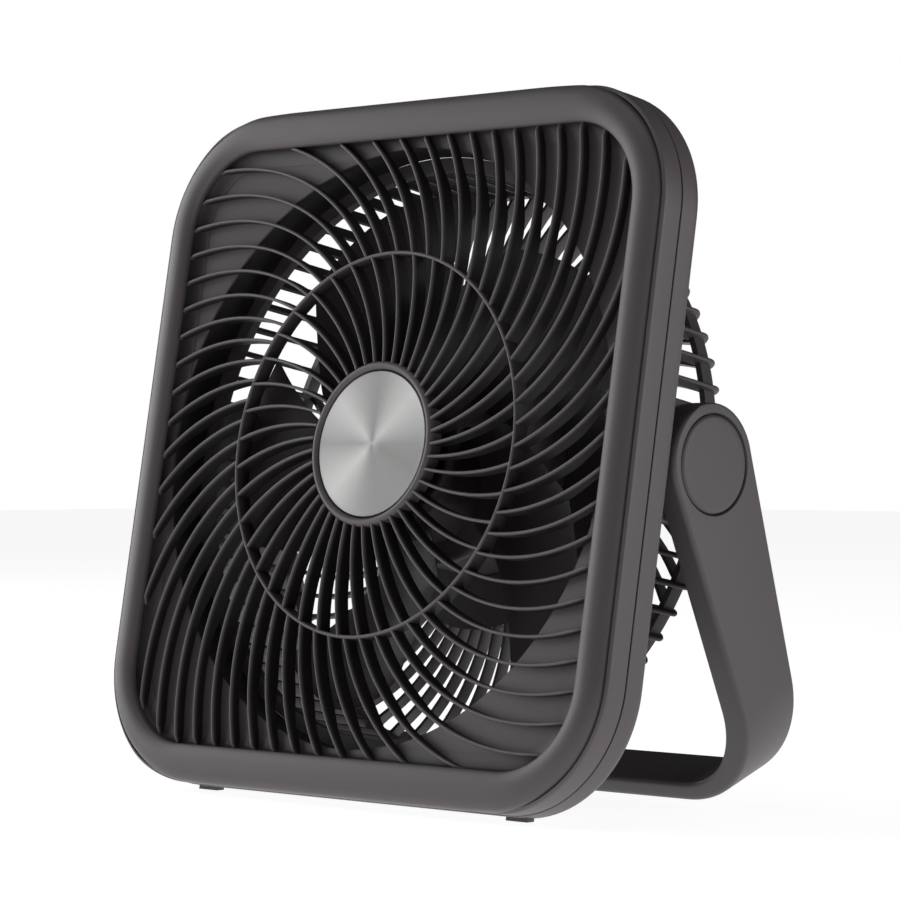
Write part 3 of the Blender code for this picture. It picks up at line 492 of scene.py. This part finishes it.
def makeBadge():
    radius, front, back = badge["radius"], badge["front"], badge["back"]
    profile = [(0.0002, back), (radius, back), (radius, front + 0.0005), (radius - 0.0005, front)]
    radii = np.linspace(radius - 0.0008, 0.0002, 40)
    dish = front + 0.0002 * (1 - (radii / radius) ** 2)
    grid = turned(np.vstack([rounded(profile, 0.0003, 3), np.stack([radii, dish], -1)]), 192)
    piece = makePiece("hubBadge", grid, spunMetal("spunSilver", badge), "casing", sharp=35)
    mesh = piece.data
    points = np.empty(len(mesh.vertices) * 3, np.float32)
    mesh.vertices.foreach_get("co", points)
    local = points.reshape(-1, 3) - shaftPoint
    across, up = local[:, 0], local @ upward
    # painted sheen: a gain by angle round the disc, fading to no change towards the middle
    paintedSheen = np.interp(np.degrees(np.arctan2(up, across)) % 360, badge["fanAngles"], badge["fanSheen"])
    paintedSheen = 1 + (paintedSheen - 1) * smooth(np.hypot(across, up) / 0.006)
    for word, value in (("ring", np.hypot(across, up)), ("sheenFans", paintedSheen)):
        mesh.attributes.new(word, "FLOAT", "POINT").data.foreach_set("value", value.astype(np.float32))
    corner = np.empty(len(mesh.loops), np.int32)
    mesh.loops.foreach_get("vertex_index", corner)
    turn = (np.arctan2(up, across) / (2 * np.pi))[corner]
    faceOf = np.repeat(np.arange(len(mesh.polygons)), [len(p.vertices) for p in mesh.polygons])
    highest = np.full(len(mesh.polygons), -9.0)
    np.maximum.at(highest, faceOf, turn)
    turn = np.where(highest[faceOf] - turn > 0.5, turn + 1, turn)  # no face is torn across the seam
    uv = np.stack([turn, np.hypot(across, up)[corner] * 20], -1)
    mesh.uv_layers.new(name="spin").data.foreach_set("uv", uv.astype(np.float32).reshape(-1))
    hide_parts("hub_badge")


makeBezel()
makeGrille()
makeBadge()
print("front ready")


shell = dict(split=0.0131, back=0.0255, throat=0.131, seam=0.0004)


def makeShells():
    seamFront, seamBack = shell["split"] - shell["seam"], shell["split"] + shell["seam"]
    outer = [(0.0017, 0.0026), (0.0014, 0.0019), (0.0002, 0.0026), (0.0, 0.0034), (0.0, 0.0126),
             (0.0002, seamFront), (0.0030, seamFront), (0.0030, 0.0156), (0.0040, 0.0156), (0.0040, 0.0108),
             (0.0090, 0.0108), (0.0090, 0.0086), (0.0017, 0.0086)]
    radii = [0, 0.0003, 0.0004, 0.0004, 0.0002, 0.0001, 0.0002, 0.0002, 0.0002, 0.0004, 0.0004, 0.0004, 0]
    profile = rounded(outer, radii, 4)
    wear = np.zeros(len(profile))
    wear[1:12] = 0.9
    grid = aroundCase(profile, shift=tuckedEdge)
    band = makePiece("frontShell", grid, plastics["case"], "casing", joinRows=True, wear=wear[:, None])
    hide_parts("front_shell")
    angles = np.linspace(0, 2 * np.pi, 360, endpoint=False)
    section = [(0.0022, seamBack), (0.0002, seamBack), (0.0, 0.0137), (0.0, 0.0222), (0.0010, 0.0246),
               (0.0034, shell["back"])]
    outside = rounded(section, [0, 0.0001, 0.0002, 0.0018, 0.0018, 0], 5)
    reach = [caseReach(angles, inset) for inset, _ in outside]
    depth = [y for _, y in outside]
    throat = shell["throat"] + 0.0006
    for radius, y in ((throat + 0.0010, shell["back"]), (throat, shell["back"] - 0.0008), (throat, 0.0236)):
        reach.append(np.full(360, radius))
        depth.append(y)
    for inset, y in ((0.0044, 0.0236), (0.0026, 0.0222)):
        reach.append(caseReach(angles, inset))
        depth.append(y)
    grid = aroundShaft(np.array(reach), np.array(depth)[:, None], angles)
    rear = makePiece("rearShell", grid, plastics["case"], "casing", joinRows=True)
    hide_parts("rear_shell")


duct = dict(outerInset=0.0050, front=0.0062, plate=0.0020, back=0.0232, wall=0.0018)


def makeDuct():
    # flat ledge from the rounded square in to the round throat, a small edge radius, then the throat's wall
    angles = np.linspace(0, 2 * np.pi, 360, endpoint=False)
    throat, front = shell["throat"], duct["front"]
    reach = [caseReach(angles, duct["outerInset"])] * 2
    depth = [front + duct["plate"], front]
    edge = 0.0009
    for turn in np.linspace(0, np.pi / 2, 5):
        reach.append(np.full(360, throat + edge * (1 - np.sin(turn))))
        depth.append(front + edge * (1 - np.cos(turn)))
    outside = throat + duct["wall"]
    for radius, y in ((throat, 0.0142), (throat, 0.0148), (throat, duct["back"]), (outside, duct["back"]),
                      (outside, front + duct["plate"])):
        reach.append(np.full(360, radius))
        depth.append(y)
    grid = aroundShaft(np.array(reach), np.array(depth)[:, None], angles)
    # painted shade: the throat's wall is darkened behind the ledge, and the ledge keeps its colour
    deep = np.interp(grid[:, 0, 1], [0.0066, 0.0072], [0, 0.8])
    deep[:2] = 0
    piece = makePiece("airDuct", grid, plastics["duct"], "casing", joinRows=True, deep=deep[:, None])
    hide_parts("air_duct")


lug = dict(inner=0.1316, outer=0.1363, radius=0.0255, depth=0.052, edge=0.0012, flare=0.004)


def standingPlate(side, inner, outer, outline, edge):
    # a plate lying in the y-z plane: loops of its outline, shrunk at both faces to round the edges
    outline = np.asarray(outline, float)
    ahead, behind = np.roll(outline, -1, axis=0), np.roll(outline, 1, axis=0)
    tangent = ahead - behind
    normal = np.stack([tangent[:, 1], -tangent[:, 0]], -1) / np.linalg.norm(tangent, axis=1)[:, None]
    loops = []
    turns = np.linspace(0, np.pi / 2, 4)
    stations = [(edge * (1 - math.sin(a)), inner + edge * (1 - math.cos(a))) for a in turns]
    stations += [(edge * (1 - math.cos(a)), outer - edge * (1 - math.sin(a))) for a in turns]
    for shrink, x in stations:
        points = outline - normal * shrink
        loops.append(np.stack([np.full(len(points), side * x), points[:, 0], points[:, 1]], -1))
    return np.array(loops)


def makeLugs():
    turns = np.linspace(-np.pi / 2, np.pi / 2, 33)
    arc = np.stack([lug["depth"] + lug["radius"] * np.cos(turns), lug["radius"] * np.sin(turns)], -1)
    base, side = shell["back"] - 0.0006, -lug["radius"]
    low = flowing([(base, side - lug["flare"]), (base + 0.0015, side - 0.0012), (base + 0.006, side)], 4)
    outline = np.vstack([low[:-1], arc, (low * (1, -1))[::-1][1:]])
    for side, word in ((1, "Right"), (-1, "Left")):
        grid = standingPlate(side, lug["inner"], lug["outer"], outline, lug["edge"])
        piece = makePiece("pivotLug" + word, grid, plastics["case"], "casing")
        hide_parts("rear_shell")


makeShells()
makeDuct()
makeLugs()
print("casing ready")


cage = dict(ribs=66, radius=0.131, depth=0.0062, back=0.082, knuckle=0.0060, hub=0.0466, hubEdge=0.070,
            bend=0.124, half=0.00100, base=0.0236, baseEnd=0.0283, sweep=(0.2, 0.0008), phase=math.radians(4),
            hoop=[(0.1252, 0.0715), (0.1252, 0.0785), (0.1280, 0.0785), (0.1280, 0.0715)])


def cagePath(steps):
    # (radius, depth) along a rib from the hub ring out over the back, round the knuckle, forward to the base
    flatEnd = cage["radius"] - cage["knuckle"]
    flat = np.stack([np.linspace(cage["hubEdge"] - 0.001, flatEnd, steps), np.full(steps, cage["back"])], -1)
    turn = np.linspace(0, np.pi / 2, 9)[1:]
    arc = np.stack([flatEnd + cage["knuckle"] * np.sin(turn),
                    cage["back"] - cage["knuckle"] * (1 - np.cos(turn))], -1)
    sideDepth = np.linspace(cage["back"] - cage["knuckle"], cage["baseEnd"] - 0.001, 9)[1:]
    side = np.stack([np.full(8, cage["radius"]), sideDepth], -1)
    return np.vstack([flat, arc, side])


def cageTurn(radius):  # the ribs sweep as far as the bend and run straight on from there
    run = (np.minimum(radius, cage["bend"]) - cage["hub"]) * 1000
    return -np.radians(cage["sweep"][0] * run + cage["sweep"][1] * run ** 2)


def makeCage():
    path = cagePath(14)
    radius, depth = path[:, 0], path[:, 1]
    turn = cageTurn(radius)
    starts = cage["phase"] + np.arange(cage["ribs"])[:, None] * 2 * np.pi / cage["ribs"]
    angle = starts + turn
    centre = aroundShaft(radius, depth, angle)
    along = np.gradient(path, axis=0)
    along /= np.linalg.norm(along, axis=1)[:, None]
    inward = aroundShaft(along[:, 1], -along[:, 0], angle)  # a quarter turn from the path, towards the inside
    tangent = np.gradient(centre, axis=1)
    tangent /= np.linalg.norm(tangent, axis=2)[..., None]
    sideways = np.cross(tangent, inward)
    sideways /= np.linalg.norm(sideways, axis=2)[..., None]
    half, deep = cage["half"], cage["depth"]
    nose = np.linspace(-np.pi / 2, np.pi / 2, 6)
    across = np.concatenate([half * np.sin(nose), [half * 0.75, -half * 0.75]])
    down = np.concatenate([half * (1 - np.cos(nose)), [1.0, 1.0]])
    reach = np.where(depth < 0.046, 0.0060, deep)  # shallower beside the blades' tips
    onNose = np.arange(8) < 6
    offset = np.where(onNose, down, 0)[None, None] + np.where(onNose, 0, 1)[None, None] * reach[None, :, None]
    grid = centre[:, :, None] + sideways[:, :, None] * across[None, None, :, None]
    grid = grid + inward[:, :, None] * offset[..., None]
    ribs = makePiece("cageRibs", grid, plastics["cage"], "casing", sharp=50)
    hubSide, hubEdge, back = cage["hub"], cage["hubEdge"], cage["back"]
    front = back - 0.006
    hub = rounded([(hubSide, front), (hubSide, back), (hubEdge, back), (hubEdge, front)], 0.0006)
    hubRing = makePiece("cageHubRing", turned(hub, 160), plastics["cage"], "casing", joinRows=True)
    inner, base, end = cage["radius"] - 0.006, cage["base"], cage["baseEnd"]
    foot = rounded([(inner, base), (inner, end), (cage["radius"], end), (cage["radius"], base)], 0.0006)
    footRing = makePiece("cageBaseRing", turned(foot, 240), plastics["cage"], "casing", joinRows=True)
    hoopShape = rounded(cage["hoop"], 0.0006)
    hoop = makePiece("cageHoop", turned(hoopShape, 240), plastics["cage"], "casing", joinRows=True)
    for piece in (ribs, hubRing, footRing, hoop):
        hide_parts("rear_cage")


makeCage()
print("cage ready")


rotor = dict(blades=5, hub=0.037, tip=0.119, front=0.022, back=0.042, lead=math.radians(171), bow=0.0035,
             thick=0.0022, cornerCut=0.0185, sweepStart=0.062, sweepRate=250)


def bladeSheet(along, across):
    # the chord runs round the hub while it climbs to the front; the leading edge is swept by so many degrees
    # a metre past the sweep's start, and the corner is cut back by a 1.6 power of the distance across
    tip = rotor["tip"] - rotor["cornerCut"] * np.maximum(0, (across - 0.45) / 0.55) ** 1.6
    radius = rotor["hub"] - 0.002 + along * (tip - rotor["hub"] + 0.002)
    chord = 0.038 + 0.022 * np.minimum(1.0, (radius - rotor["hub"] + 0.002) / 0.026)
    sweep = np.radians(rotor["sweepRate"] * np.maximum(0, radius - rotor["sweepStart"]))
    depth = rotor["back"] + across * (rotor["front"] - rotor["back"]) + rotor["bow"] * np.sin(np.pi * across)
    return radius, chord * across / radius - sweep * (1 - across), depth


def makeRotor():
    steps, ribs = 40, 24
    along = np.linspace(0, 1, ribs)[:, None]
    across = np.linspace(0, 1, steps)[None]
    radius, turn, depth = bladeSheet(along + 0 * across, across + 0 * along)
    thin = rotor["thick"] / 2 * np.sqrt(np.clip(1 - (2 * across - 1) ** 4, 0.05, 1)) * (1 - 0.35 * along)
    tipRound = np.clip((1 - along) / 0.02, 0.15, 1) ** 0.5
    front, back = depth - thin * tipRound, depth + thin * tipRound
    loopRadius = np.concatenate([radius, radius[:, ::-1]], axis=1)
    loopTurn = np.concatenate([turn, turn[:, ::-1]], axis=1)
    loopDepth = np.concatenate([front, back[:, ::-1]], axis=1)
    lead = rotor["lead"] + np.arange(rotor["blades"])[:, None, None] * 2 * np.pi / rotor["blades"]
    grid = aroundShaft(loopRadius, loopDepth, lead + loopTurn)
    blades = makePiece("fanBlades", grid, plastics["rotor"], "rotor", sharp=60)
    hub = rotor["hub"]
    cup = rounded([(0.0046, 0.0170), (0.0046, 0.0140), (hub - 0.0030, 0.0140), (hub, 0.0175), (hub, 0.0430),
                   (hub - 0.0035, 0.0430), (hub - 0.0035, 0.0170)],
                  [0, 0.0004, 0.003, 0.003, 0.0006, 0.0006, 0], 5)
    cupPiece = makePiece("rotorHub", turned(cup, 160), plastics["rotor"], "rotor", joinRows=True)
    for piece in (blades, cupPiece):
        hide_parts("fan_rotor")


makeRotor()
print("rotor ready")


pod = dict(radius=0.046, front=0.0474, coverFront=0.0823, coverBack=0.0848, cover=0.0515, post=0.0395,
           socketHigh=-0.024, lightHigh=0.024)


def makePod():
    edge = pod["radius"]
    shape = rounded([(0.0065, pod["front"]), (edge, pod["front"]), (edge, pod["coverFront"] - 0.0003),
                     (edge - 0.002, pod["coverFront"] - 0.0003), (edge - 0.002, pod["front"] + 0.002),
                     (0.0065, pod["front"] + 0.002)], [0, 0.003, 0.0004, 0.0004, 0.001, 0], 5)
    body = makePiece("podBody", turned(shape, 160), plastics["case"], "casing", joinRows=True)
    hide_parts("pod_body")
    cover, low, high = pod["cover"], pod["coverFront"], pod["coverBack"]
    grooved = rounded([(0.0036, low), (cover, low), (cover, low + 0.0009), (cover - 0.0022, high),
                       (0.0470, high), (0.0193, high), (0.0190, high), (0.0185, high - 0.0005), (0.0172, high - 0.0005),
                       (0.0167, high), (0.0036, high)],
                      [0, 0.0003, 0.001, 0.0014, 0.00001, 0.00001, 0.0002, 0.0002, 0.0002, 0.0002, 0], 4)
    piece = makePiece("podCover", turned(grooved, 200), plastics["case"], "casing", joinRows=True)
    middle, half = pod["socketHigh"], 0.0021
    slot = boxShape((-0.0050, 0.080, middle - half), (0.0050, 0.087, middle + half), 0.0018)
    holes = [slot, turned([(0.0019, 0.080), (0.0019, 0.087)], 32, (0, pod["lightHigh"]))]
    for x, z in ((1, 0), (0, 1), (-1, 0), (0, -1)):
        holes.append(turned([(0.0019, 0.080), (0.0019, 0.0835), (0.0037, 0.0843), (0.0037, 0.087)], 32,
                            (x * pod["post"], z * pod["post"])))
    cutAway(piece, holes)
    cutAway(piece, speedMarks())
    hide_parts("pod_cover")


def speedMarks():  # short sunk ticks round the knob, longer step by step
    marks = []
    for step in range(7):
        turn = math.radians(-135 + 45 * step)
        length = 0.0010 + 0.0003 * step
        start, half = 0.0197, 0.00045
        tick = boxShape((-half, 0.0843, start), (half, 0.0860, start + length), 0.0003, 2)
        x = tick[..., 0] * math.cos(turn) + tick[..., 2] * math.sin(turn)
        z = -tick[..., 0] * math.sin(turn) + tick[..., 2] * math.cos(turn)
        marks.append(np.stack([x, tick[..., 1], z], -1))
    return marks


knob = dict(radius=0.0140, start=0.0856, end=0.0972, flutes=24, stem=0.0030, stemStart=0.0816)


def makeKnob():
    # a fluted cap: the side's radius dips round a cosine, and the dips fade out at both ends
    stem, stemStart, start, end = knob["stem"], knob["stemStart"], knob["start"], knob["end"]
    skirt, top = knob["radius"] + 0.0002, knob["radius"] - 0.0010
    section = rounded([(0.0002, stemStart), (stem, stemStart), (stem, start), (skirt, start), (skirt, 0.0868),
                       (top, 0.0960), (0.0105, end), (0.0002, end - 0.0004)],
                      [0, 0.0002, 0.0002, 0.0004, 0.0004, 0.0012, 0.001, 0], 6)
    grid = turned(section, 240)
    angles = np.linspace(0, 2 * np.pi, 240, endpoint=False)
    depth = section[:, 1:2]
    band = smooth((depth - 0.0872) / 0.001) * smooth((0.0962 - depth) / 0.0008) * (section[:, :1] > 0.011)
    dip = 1 - 0.035 * band * (0.5 + 0.5 * np.cos(knob["flutes"] * angles)) ** 2
    grid[..., 0] *= dip
    grid[..., 2] *= dip
    piece = makePiece("speedKnob", grid, plastics["case"], "knob", sharp=50)
    cutAway(piece, [boxShape((-0.0007, 0.0962, 0.0040), (0.0007, 0.0990, 0.0125), 0.0004, 2)])
    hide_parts("speed_knob")


def makeScrew(name, node, centre, headRadius, seat, tip, shank):
    # a pan head with a hexagonal drive hole, on a threaded shank cut as rings
    turns = np.linspace(0, np.pi / 2, 7)
    head = [(headRadius * np.cos(a), seat + 0.0003 + 0.0014 * np.sin(a)) for a in turns[:-1]]
    threads = []
    pitch, y = 0.0009, tip
    while y < seat - 0.001:
        threads += [(shank * 0.82, y), (shank, y + pitch / 2)]
        y += pitch
    profile = threads + [(shank * 0.82, seat), *head, (0.0004, seat + 0.0017)]
    piece = makePiece(name, turned(profile, 36, centre), metals["blackScrew"], "casing", sharp=35)
    cutAway(piece, [turned([(0.0011, seat + 0.0006), (0.0011, seat + 0.003)], 6, centre)])
    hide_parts(node)


def makeScrews():
    corners = [(x, z) for z in (0.120, -0.120) for x in (0.118, -0.118)]
    for number, centre in enumerate(corners, 1):
        makeScrew(f"caseScrew{number}", f"case_screw_{number}", centre, 0.0036, shell["back"], 0.0120, 0.0018)
    places = [(pod["post"], 0), (0, pod["post"]), (-pod["post"], 0), (0, -pod["post"])]
    for number, centre in enumerate(places, 1):
        makeScrew(f"podScrew{number}", f"pod_screw_{number}", centre, 0.0030, 0.0840, 0.0705, 0.0015)


def makeSocket():
    z = pod["socketHigh"]
    sleeve = boxShape((-0.0046, 0.0754, z - 0.0017), (0.0046, 0.0846, z + 0.0017), 0.0015)
    piece = makePiece("chargeSocket", sleeve, metals["socket"], "casing")
    cutAway(piece, [boxShape((-0.0041, 0.0785, z - 0.0012), (0.0041, 0.0870, z + 0.0012), 0.0011)])
    blade = boxShape((-0.0032, 0.0780, z - 0.00035), (0.0032, 0.0838, z + 0.00035), 0.0003)
    tongue = makePiece("socketTongue", blade, plastics["inner"], "casing")
    for part in (piece, tongue):
        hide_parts("charge_socket")


makePod()
makeKnob()
makeScrews()
makeSocket()
print("pod ready")


stand = dict(outer=0.1498, arm=0.012, bar=0.008, length=0.147, corner=0.045, end=0.0253, taper=0.069,
             swing=math.radians(30), edge=0.0022, cap=0.0204, pivot=0.052)


def standPlace(points):  # (across, depth, up) in the stand's own frame, hung from the pivot and swung back
    points = np.asarray(points, float)
    turn = stand["swing"]
    y = points[..., 1] * math.cos(turn) - points[..., 2] * math.sin(turn)
    z = points[..., 1] * math.sin(turn) + points[..., 2] * math.cos(turn)
    return np.stack([points[..., 0], y + stand["pivot"], z], -1)


def standPath():
    # outer and inner points of the strip and its half width, from the right arm's end to the bar's middle
    turns = np.radians(np.linspace(86, 4, 16))
    bend = stand["length"] - stand["corner"]
    down = np.concatenate([-stand["end"] * np.sin(turns), np.linspace(0, bend, 18)])
    outer = np.stack([np.full(len(down), stand["outer"]), down], -1)
    inner = outer - (stand["arm"], 0)
    width = np.where(down < 0, np.sqrt(np.maximum(stand["end"] ** 2 - np.minimum(down, 0) ** 2, 0)),
                     stand["end"] - stand["taper"] * down)
    turn = np.linspace(0, np.pi / 2, 25)[1:]
    centre = stand["outer"] - stand["corner"]
    corner = stand["corner"]
    arcOuter = np.stack([centre + corner * np.cos(turn), bend + corner * np.sin(turn)], -1)
    arcInner = np.stack([centre + (corner - stand["arm"]) * np.cos(turn),
                         bend + (corner - stand["bar"]) * np.sin(turn)], -1)
    across = np.linspace(centre, 0, 12)[1:, None]
    barOuter = np.hstack([across, np.full_like(across, stand["length"])])
    barInner = np.hstack([across, np.full_like(across, stand["length"] - stand["bar"])])
    outer, inner = np.vstack([outer, arcOuter, barOuter]), np.vstack([inner, arcInner, barInner])
    width = np.concatenate([width, stand["end"] - stand["taper"] * outer[len(width):, 1]])
    return outer, inner, width


def makeStand():
    outer, inner, width = standPath()
    flip = (-1, 1)
    outer = np.vstack([outer, (outer[:-1] * flip)[::-1]])
    inner = np.vstack([inner, (inner[:-1] * flip)[::-1]])
    width = np.concatenate([width, width[:-1][::-1]])
    inward = inner - outer
    thick = np.linalg.norm(inward, axis=1)[:, None]
    inward = inward / thick
    edge = np.minimum(stand["edge"], width * 0.5)[:, None]
    turns = np.linspace(0, np.pi / 2, 6)[None]
    half, back = width[:, None], turns[:, ::-1]
    across = np.concatenate([half - edge + edge * np.cos(back), -(half - edge + edge * np.cos(turns)),
                             -(half - edge + edge * np.cos(back)),
                             half - edge + edge * np.cos(turns)], axis=1)
    down = np.concatenate([edge - edge * np.sin(back), edge - edge * np.sin(turns),
                           thick - edge + edge * np.sin(back), thick - edge + edge * np.sin(turns)], axis=1)
    order = orderLoop(across, down)
    across, down = across[:, order], down[:, order]
    points = outer[:, None] + inward[:, None] * down[..., None]
    grid = standPlace(np.stack([points[..., 0], across, -points[..., 1]], -1))
    wear = np.where(down < 0.0012, 0.35, 0.0)
    piece = makePiece("standFrame", grid, plastics["stand"], "stand", sharp=50, wear=wear[None])
    seat, mouth = stand["cap"] + 0.0005, stand["cap"] + 0.0010
    sections = ([(0.0063, 0.130), (0.0063, 0.1440)],
                [(seat, 0.1466), (seat, 0.1492), (mouth, 0.1499), (mouth, 0.156)],
                [(0.0116, 0.1430), (0.0116, 0.1480)])
    cutAway(piece, [acrossShape(section, side, 96) for side in (1, -1) for section in sections])
    piece.data.shade_smooth()
    piece.data.set_sharp_from_angle(angle=math.radians(40))
    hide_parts("stand_frame")


def orderLoop(across, down):  # the corners' points in one turn round the strip's section
    middleAcross, middleDown = across.mean(axis=1, keepdims=True), down.mean(axis=1, keepdims=True)
    row = len(across) // 2
    return np.argsort(np.arctan2((down - middleDown)[row], (across - middleAcross)[row]), kind="stable")


def acrossShape(section, side, count):  # (radius, distance across) points turned about the pivots' line
    section = np.asarray(section, float)
    angles = np.linspace(0, 2 * np.pi, count, endpoint=False)
    y = stand["pivot"] + section[:, :1] * np.cos(angles)
    z = section[:, :1] * np.sin(angles)
    return np.stack([np.broadcast_to(side * section[:, 1:2], y.shape), y, z], -1)


def makeCaps():
    for side, word in ((1, "right"), (-1, "left")):
        radius = stand["cap"]
        skirt = rounded([(0.0002, 0.1471), (radius, 0.1471), (radius, 0.1492),
                         (radius - 0.0012, stand["outer"] + 0.0001)], [0, 0.0003, 0.0009, 0], 5)
        face = np.linspace(radius - 0.0014, 0.0002, 10)
        crown = np.stack([face, stand["outer"] + 0.0001 + 0.0004 * (1 - (face / radius) ** 2)], -1)
        grid = acrossShape(np.vstack([skirt, crown]), side, 128)
        piece = makePiece("pivotCap" + word.capitalize(), grid, plastics["stand"], "stand", sharp=40)
        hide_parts("pivot_cap_" + word)


makeStand()
makeCaps()
print("stand ready")


finishes = {
    "rubber": (plastics["rubber"],
               ["case_foot_left", "case_foot_right", "stand_foot_left", "stand_foot_right",
                "friction_washer_left", "friction_washer_right", "motor_lead"]),
    "steel": (metals["steel"],
              ["blade_nut", "motor_shaft", "bearing_front", "bearing_rear", "motor_base", "rotor_bell",
               "motor_screw_1", "motor_screw_2", "motor_screw_3", "pivot_bolt_left", "pivot_bolt_right"]),
    "core": (metals["core"], ["stator_core"]),
    "copper": (metals["copper"], ["stator_winding_front", "stator_winding_rear"]),
    "magnet": (metals["magnet"], ["magnet_ring"]),
    "board": (plastics["board"], ["control_board"]),
    "sleeve": (plastics["sleeve"], ["battery_cell_1", "battery_cell_2", "battery_cell_3"]),
    "inner": (plastics["inner"], ["battery_tray", "speed_control"]),
    "lens": (plastics["lens"], ["charge_light"]),
}
for material, names in finishes.values():
    for name in names:
        node = frame["nodes"][name]
        node.data.materials.clear()
        node.data.materials.append(material)
print("carried-over pieces finished")


studio = dict(floorHalf=6.0, glow=0.92)


def makeFloor():
    # a pale floor that glows a little, so that it stays near white and lights the fan from below
    material, nodes, links = newMaterial("paleFloor")
    shader = nodes["Principled BSDF"]
    shader.inputs["Roughness"].default_value = 0.9
    shader.inputs["Specular IOR Level"].default_value = 0.1
    place = nodes.new("ShaderNodeTexCoord")
    speck = nodes.new("ShaderNodeTexNoise")
    speck.inputs["Scale"].default_value = 3.0
    tint = nodes.new("ShaderNodeMixRGB")
    tint.inputs["Color1"].default_value = (0.28, 0.28, 0.28, 1)
    tint.inputs["Color2"].default_value = (0.32, 0.32, 0.32, 1)
    shader.inputs["Emission Color"].default_value = (1, 1, 1, 1)
    shader.inputs["Emission Strength"].default_value = studio["glow"]
    links.new(place.outputs["Object"], speck.inputs["Vector"])
    links.new(speck.outputs["Fac"], tint.inputs["Fac"])
    links.new(tint.outputs["Color"], shader.inputs["Base Color"])
    mesh = bpy.data.meshes.new("floor")
    half = studio["floorHalf"]
    corners = [(-half, -half, 0), (half, -half, 0), (half, half, 0), (-half, half, 0)]
    mesh.from_pydata(corners, [], [(0, 1, 2, 3)])
    mesh.materials.append(material)
    floor = bpy.data.objects.new("floor", mesh)
    bpy.context.scene.collection.objects.link(floor)


def addAreaLight(name, place, target, size, power):
    light = bpy.data.lights.new(name, "AREA")
    light.shape = "RECTANGLE"
    light.size, light.size_y = size
    light.energy = power
    lamp = bpy.data.objects.new(name, light)
    bpy.context.scene.collection.objects.link(lamp)
    lamp.location = place
    lamp.rotation_euler = (Vector(target) - Vector(place)).to_track_quat("-Z", "Y").to_euler()


def lightStudio():
    world = bpy.data.worlds.new("studio")
    bpy.context.scene.world = world
    world.use_nodes = True
    nodes, links = world.node_tree.nodes, world.node_tree.links
    seen, fill = nodes["Background"], nodes.new("ShaderNodeBackground")
    seen.inputs["Color"].default_value = (1, 1, 1, 1)
    seen.inputs["Strength"].default_value = 1.0
    fill.inputs["Color"].default_value = (1, 1, 1, 1)
    fill.inputs["Strength"].default_value = 0.03
    path = nodes.new("ShaderNodeLightPath")
    mix = nodes.new("ShaderNodeMixShader")
    links.new(path.outputs["Is Camera Ray"], mix.inputs["Fac"])
    links.new(fill.outputs["Background"], mix.inputs[1])
    links.new(seen.outputs["Background"], mix.inputs[2])
    links.new(mix.outputs["Shader"], nodes["World Output"].inputs["Surface"])
    middle = (0.0, 0.0, 0.15)
    addAreaLight("key", (-2.2, -0.75, 0.45), middle, (2.6, 2.6), 58)
    addAreaLight("side", (1.8, 0.9, 0.5), middle, (1.2, 1.2), 13)
    addAreaLight("top", (-0.1, -0.6, 2.0), middle, (1.6, 1.2), 6)


view = dict(lens=134.88, place=(1.0308, -1.0130, -0.0046), aim=(-0.696, 0.718, 0.001))


def placeCamera():
    data = bpy.data.cameras.new("camera")
    data.lens, data.sensor_width = view["lens"], 36.0
    data.clip_end = 50
    camera = bpy.data.objects.new("camera", data)
    bpy.context.scene.collection.objects.link(camera)
    camera.location = Vector(shaftPoint) + Vector(view["place"])
    camera.rotation_euler = Vector(view["aim"]).to_track_quat("-Z", "Y").to_euler()
    bpy.context.scene.camera = camera


makeFloor()
lightStudio()
placeCamera()
bpy.context.scene.view_settings.view_transform = "Standard"
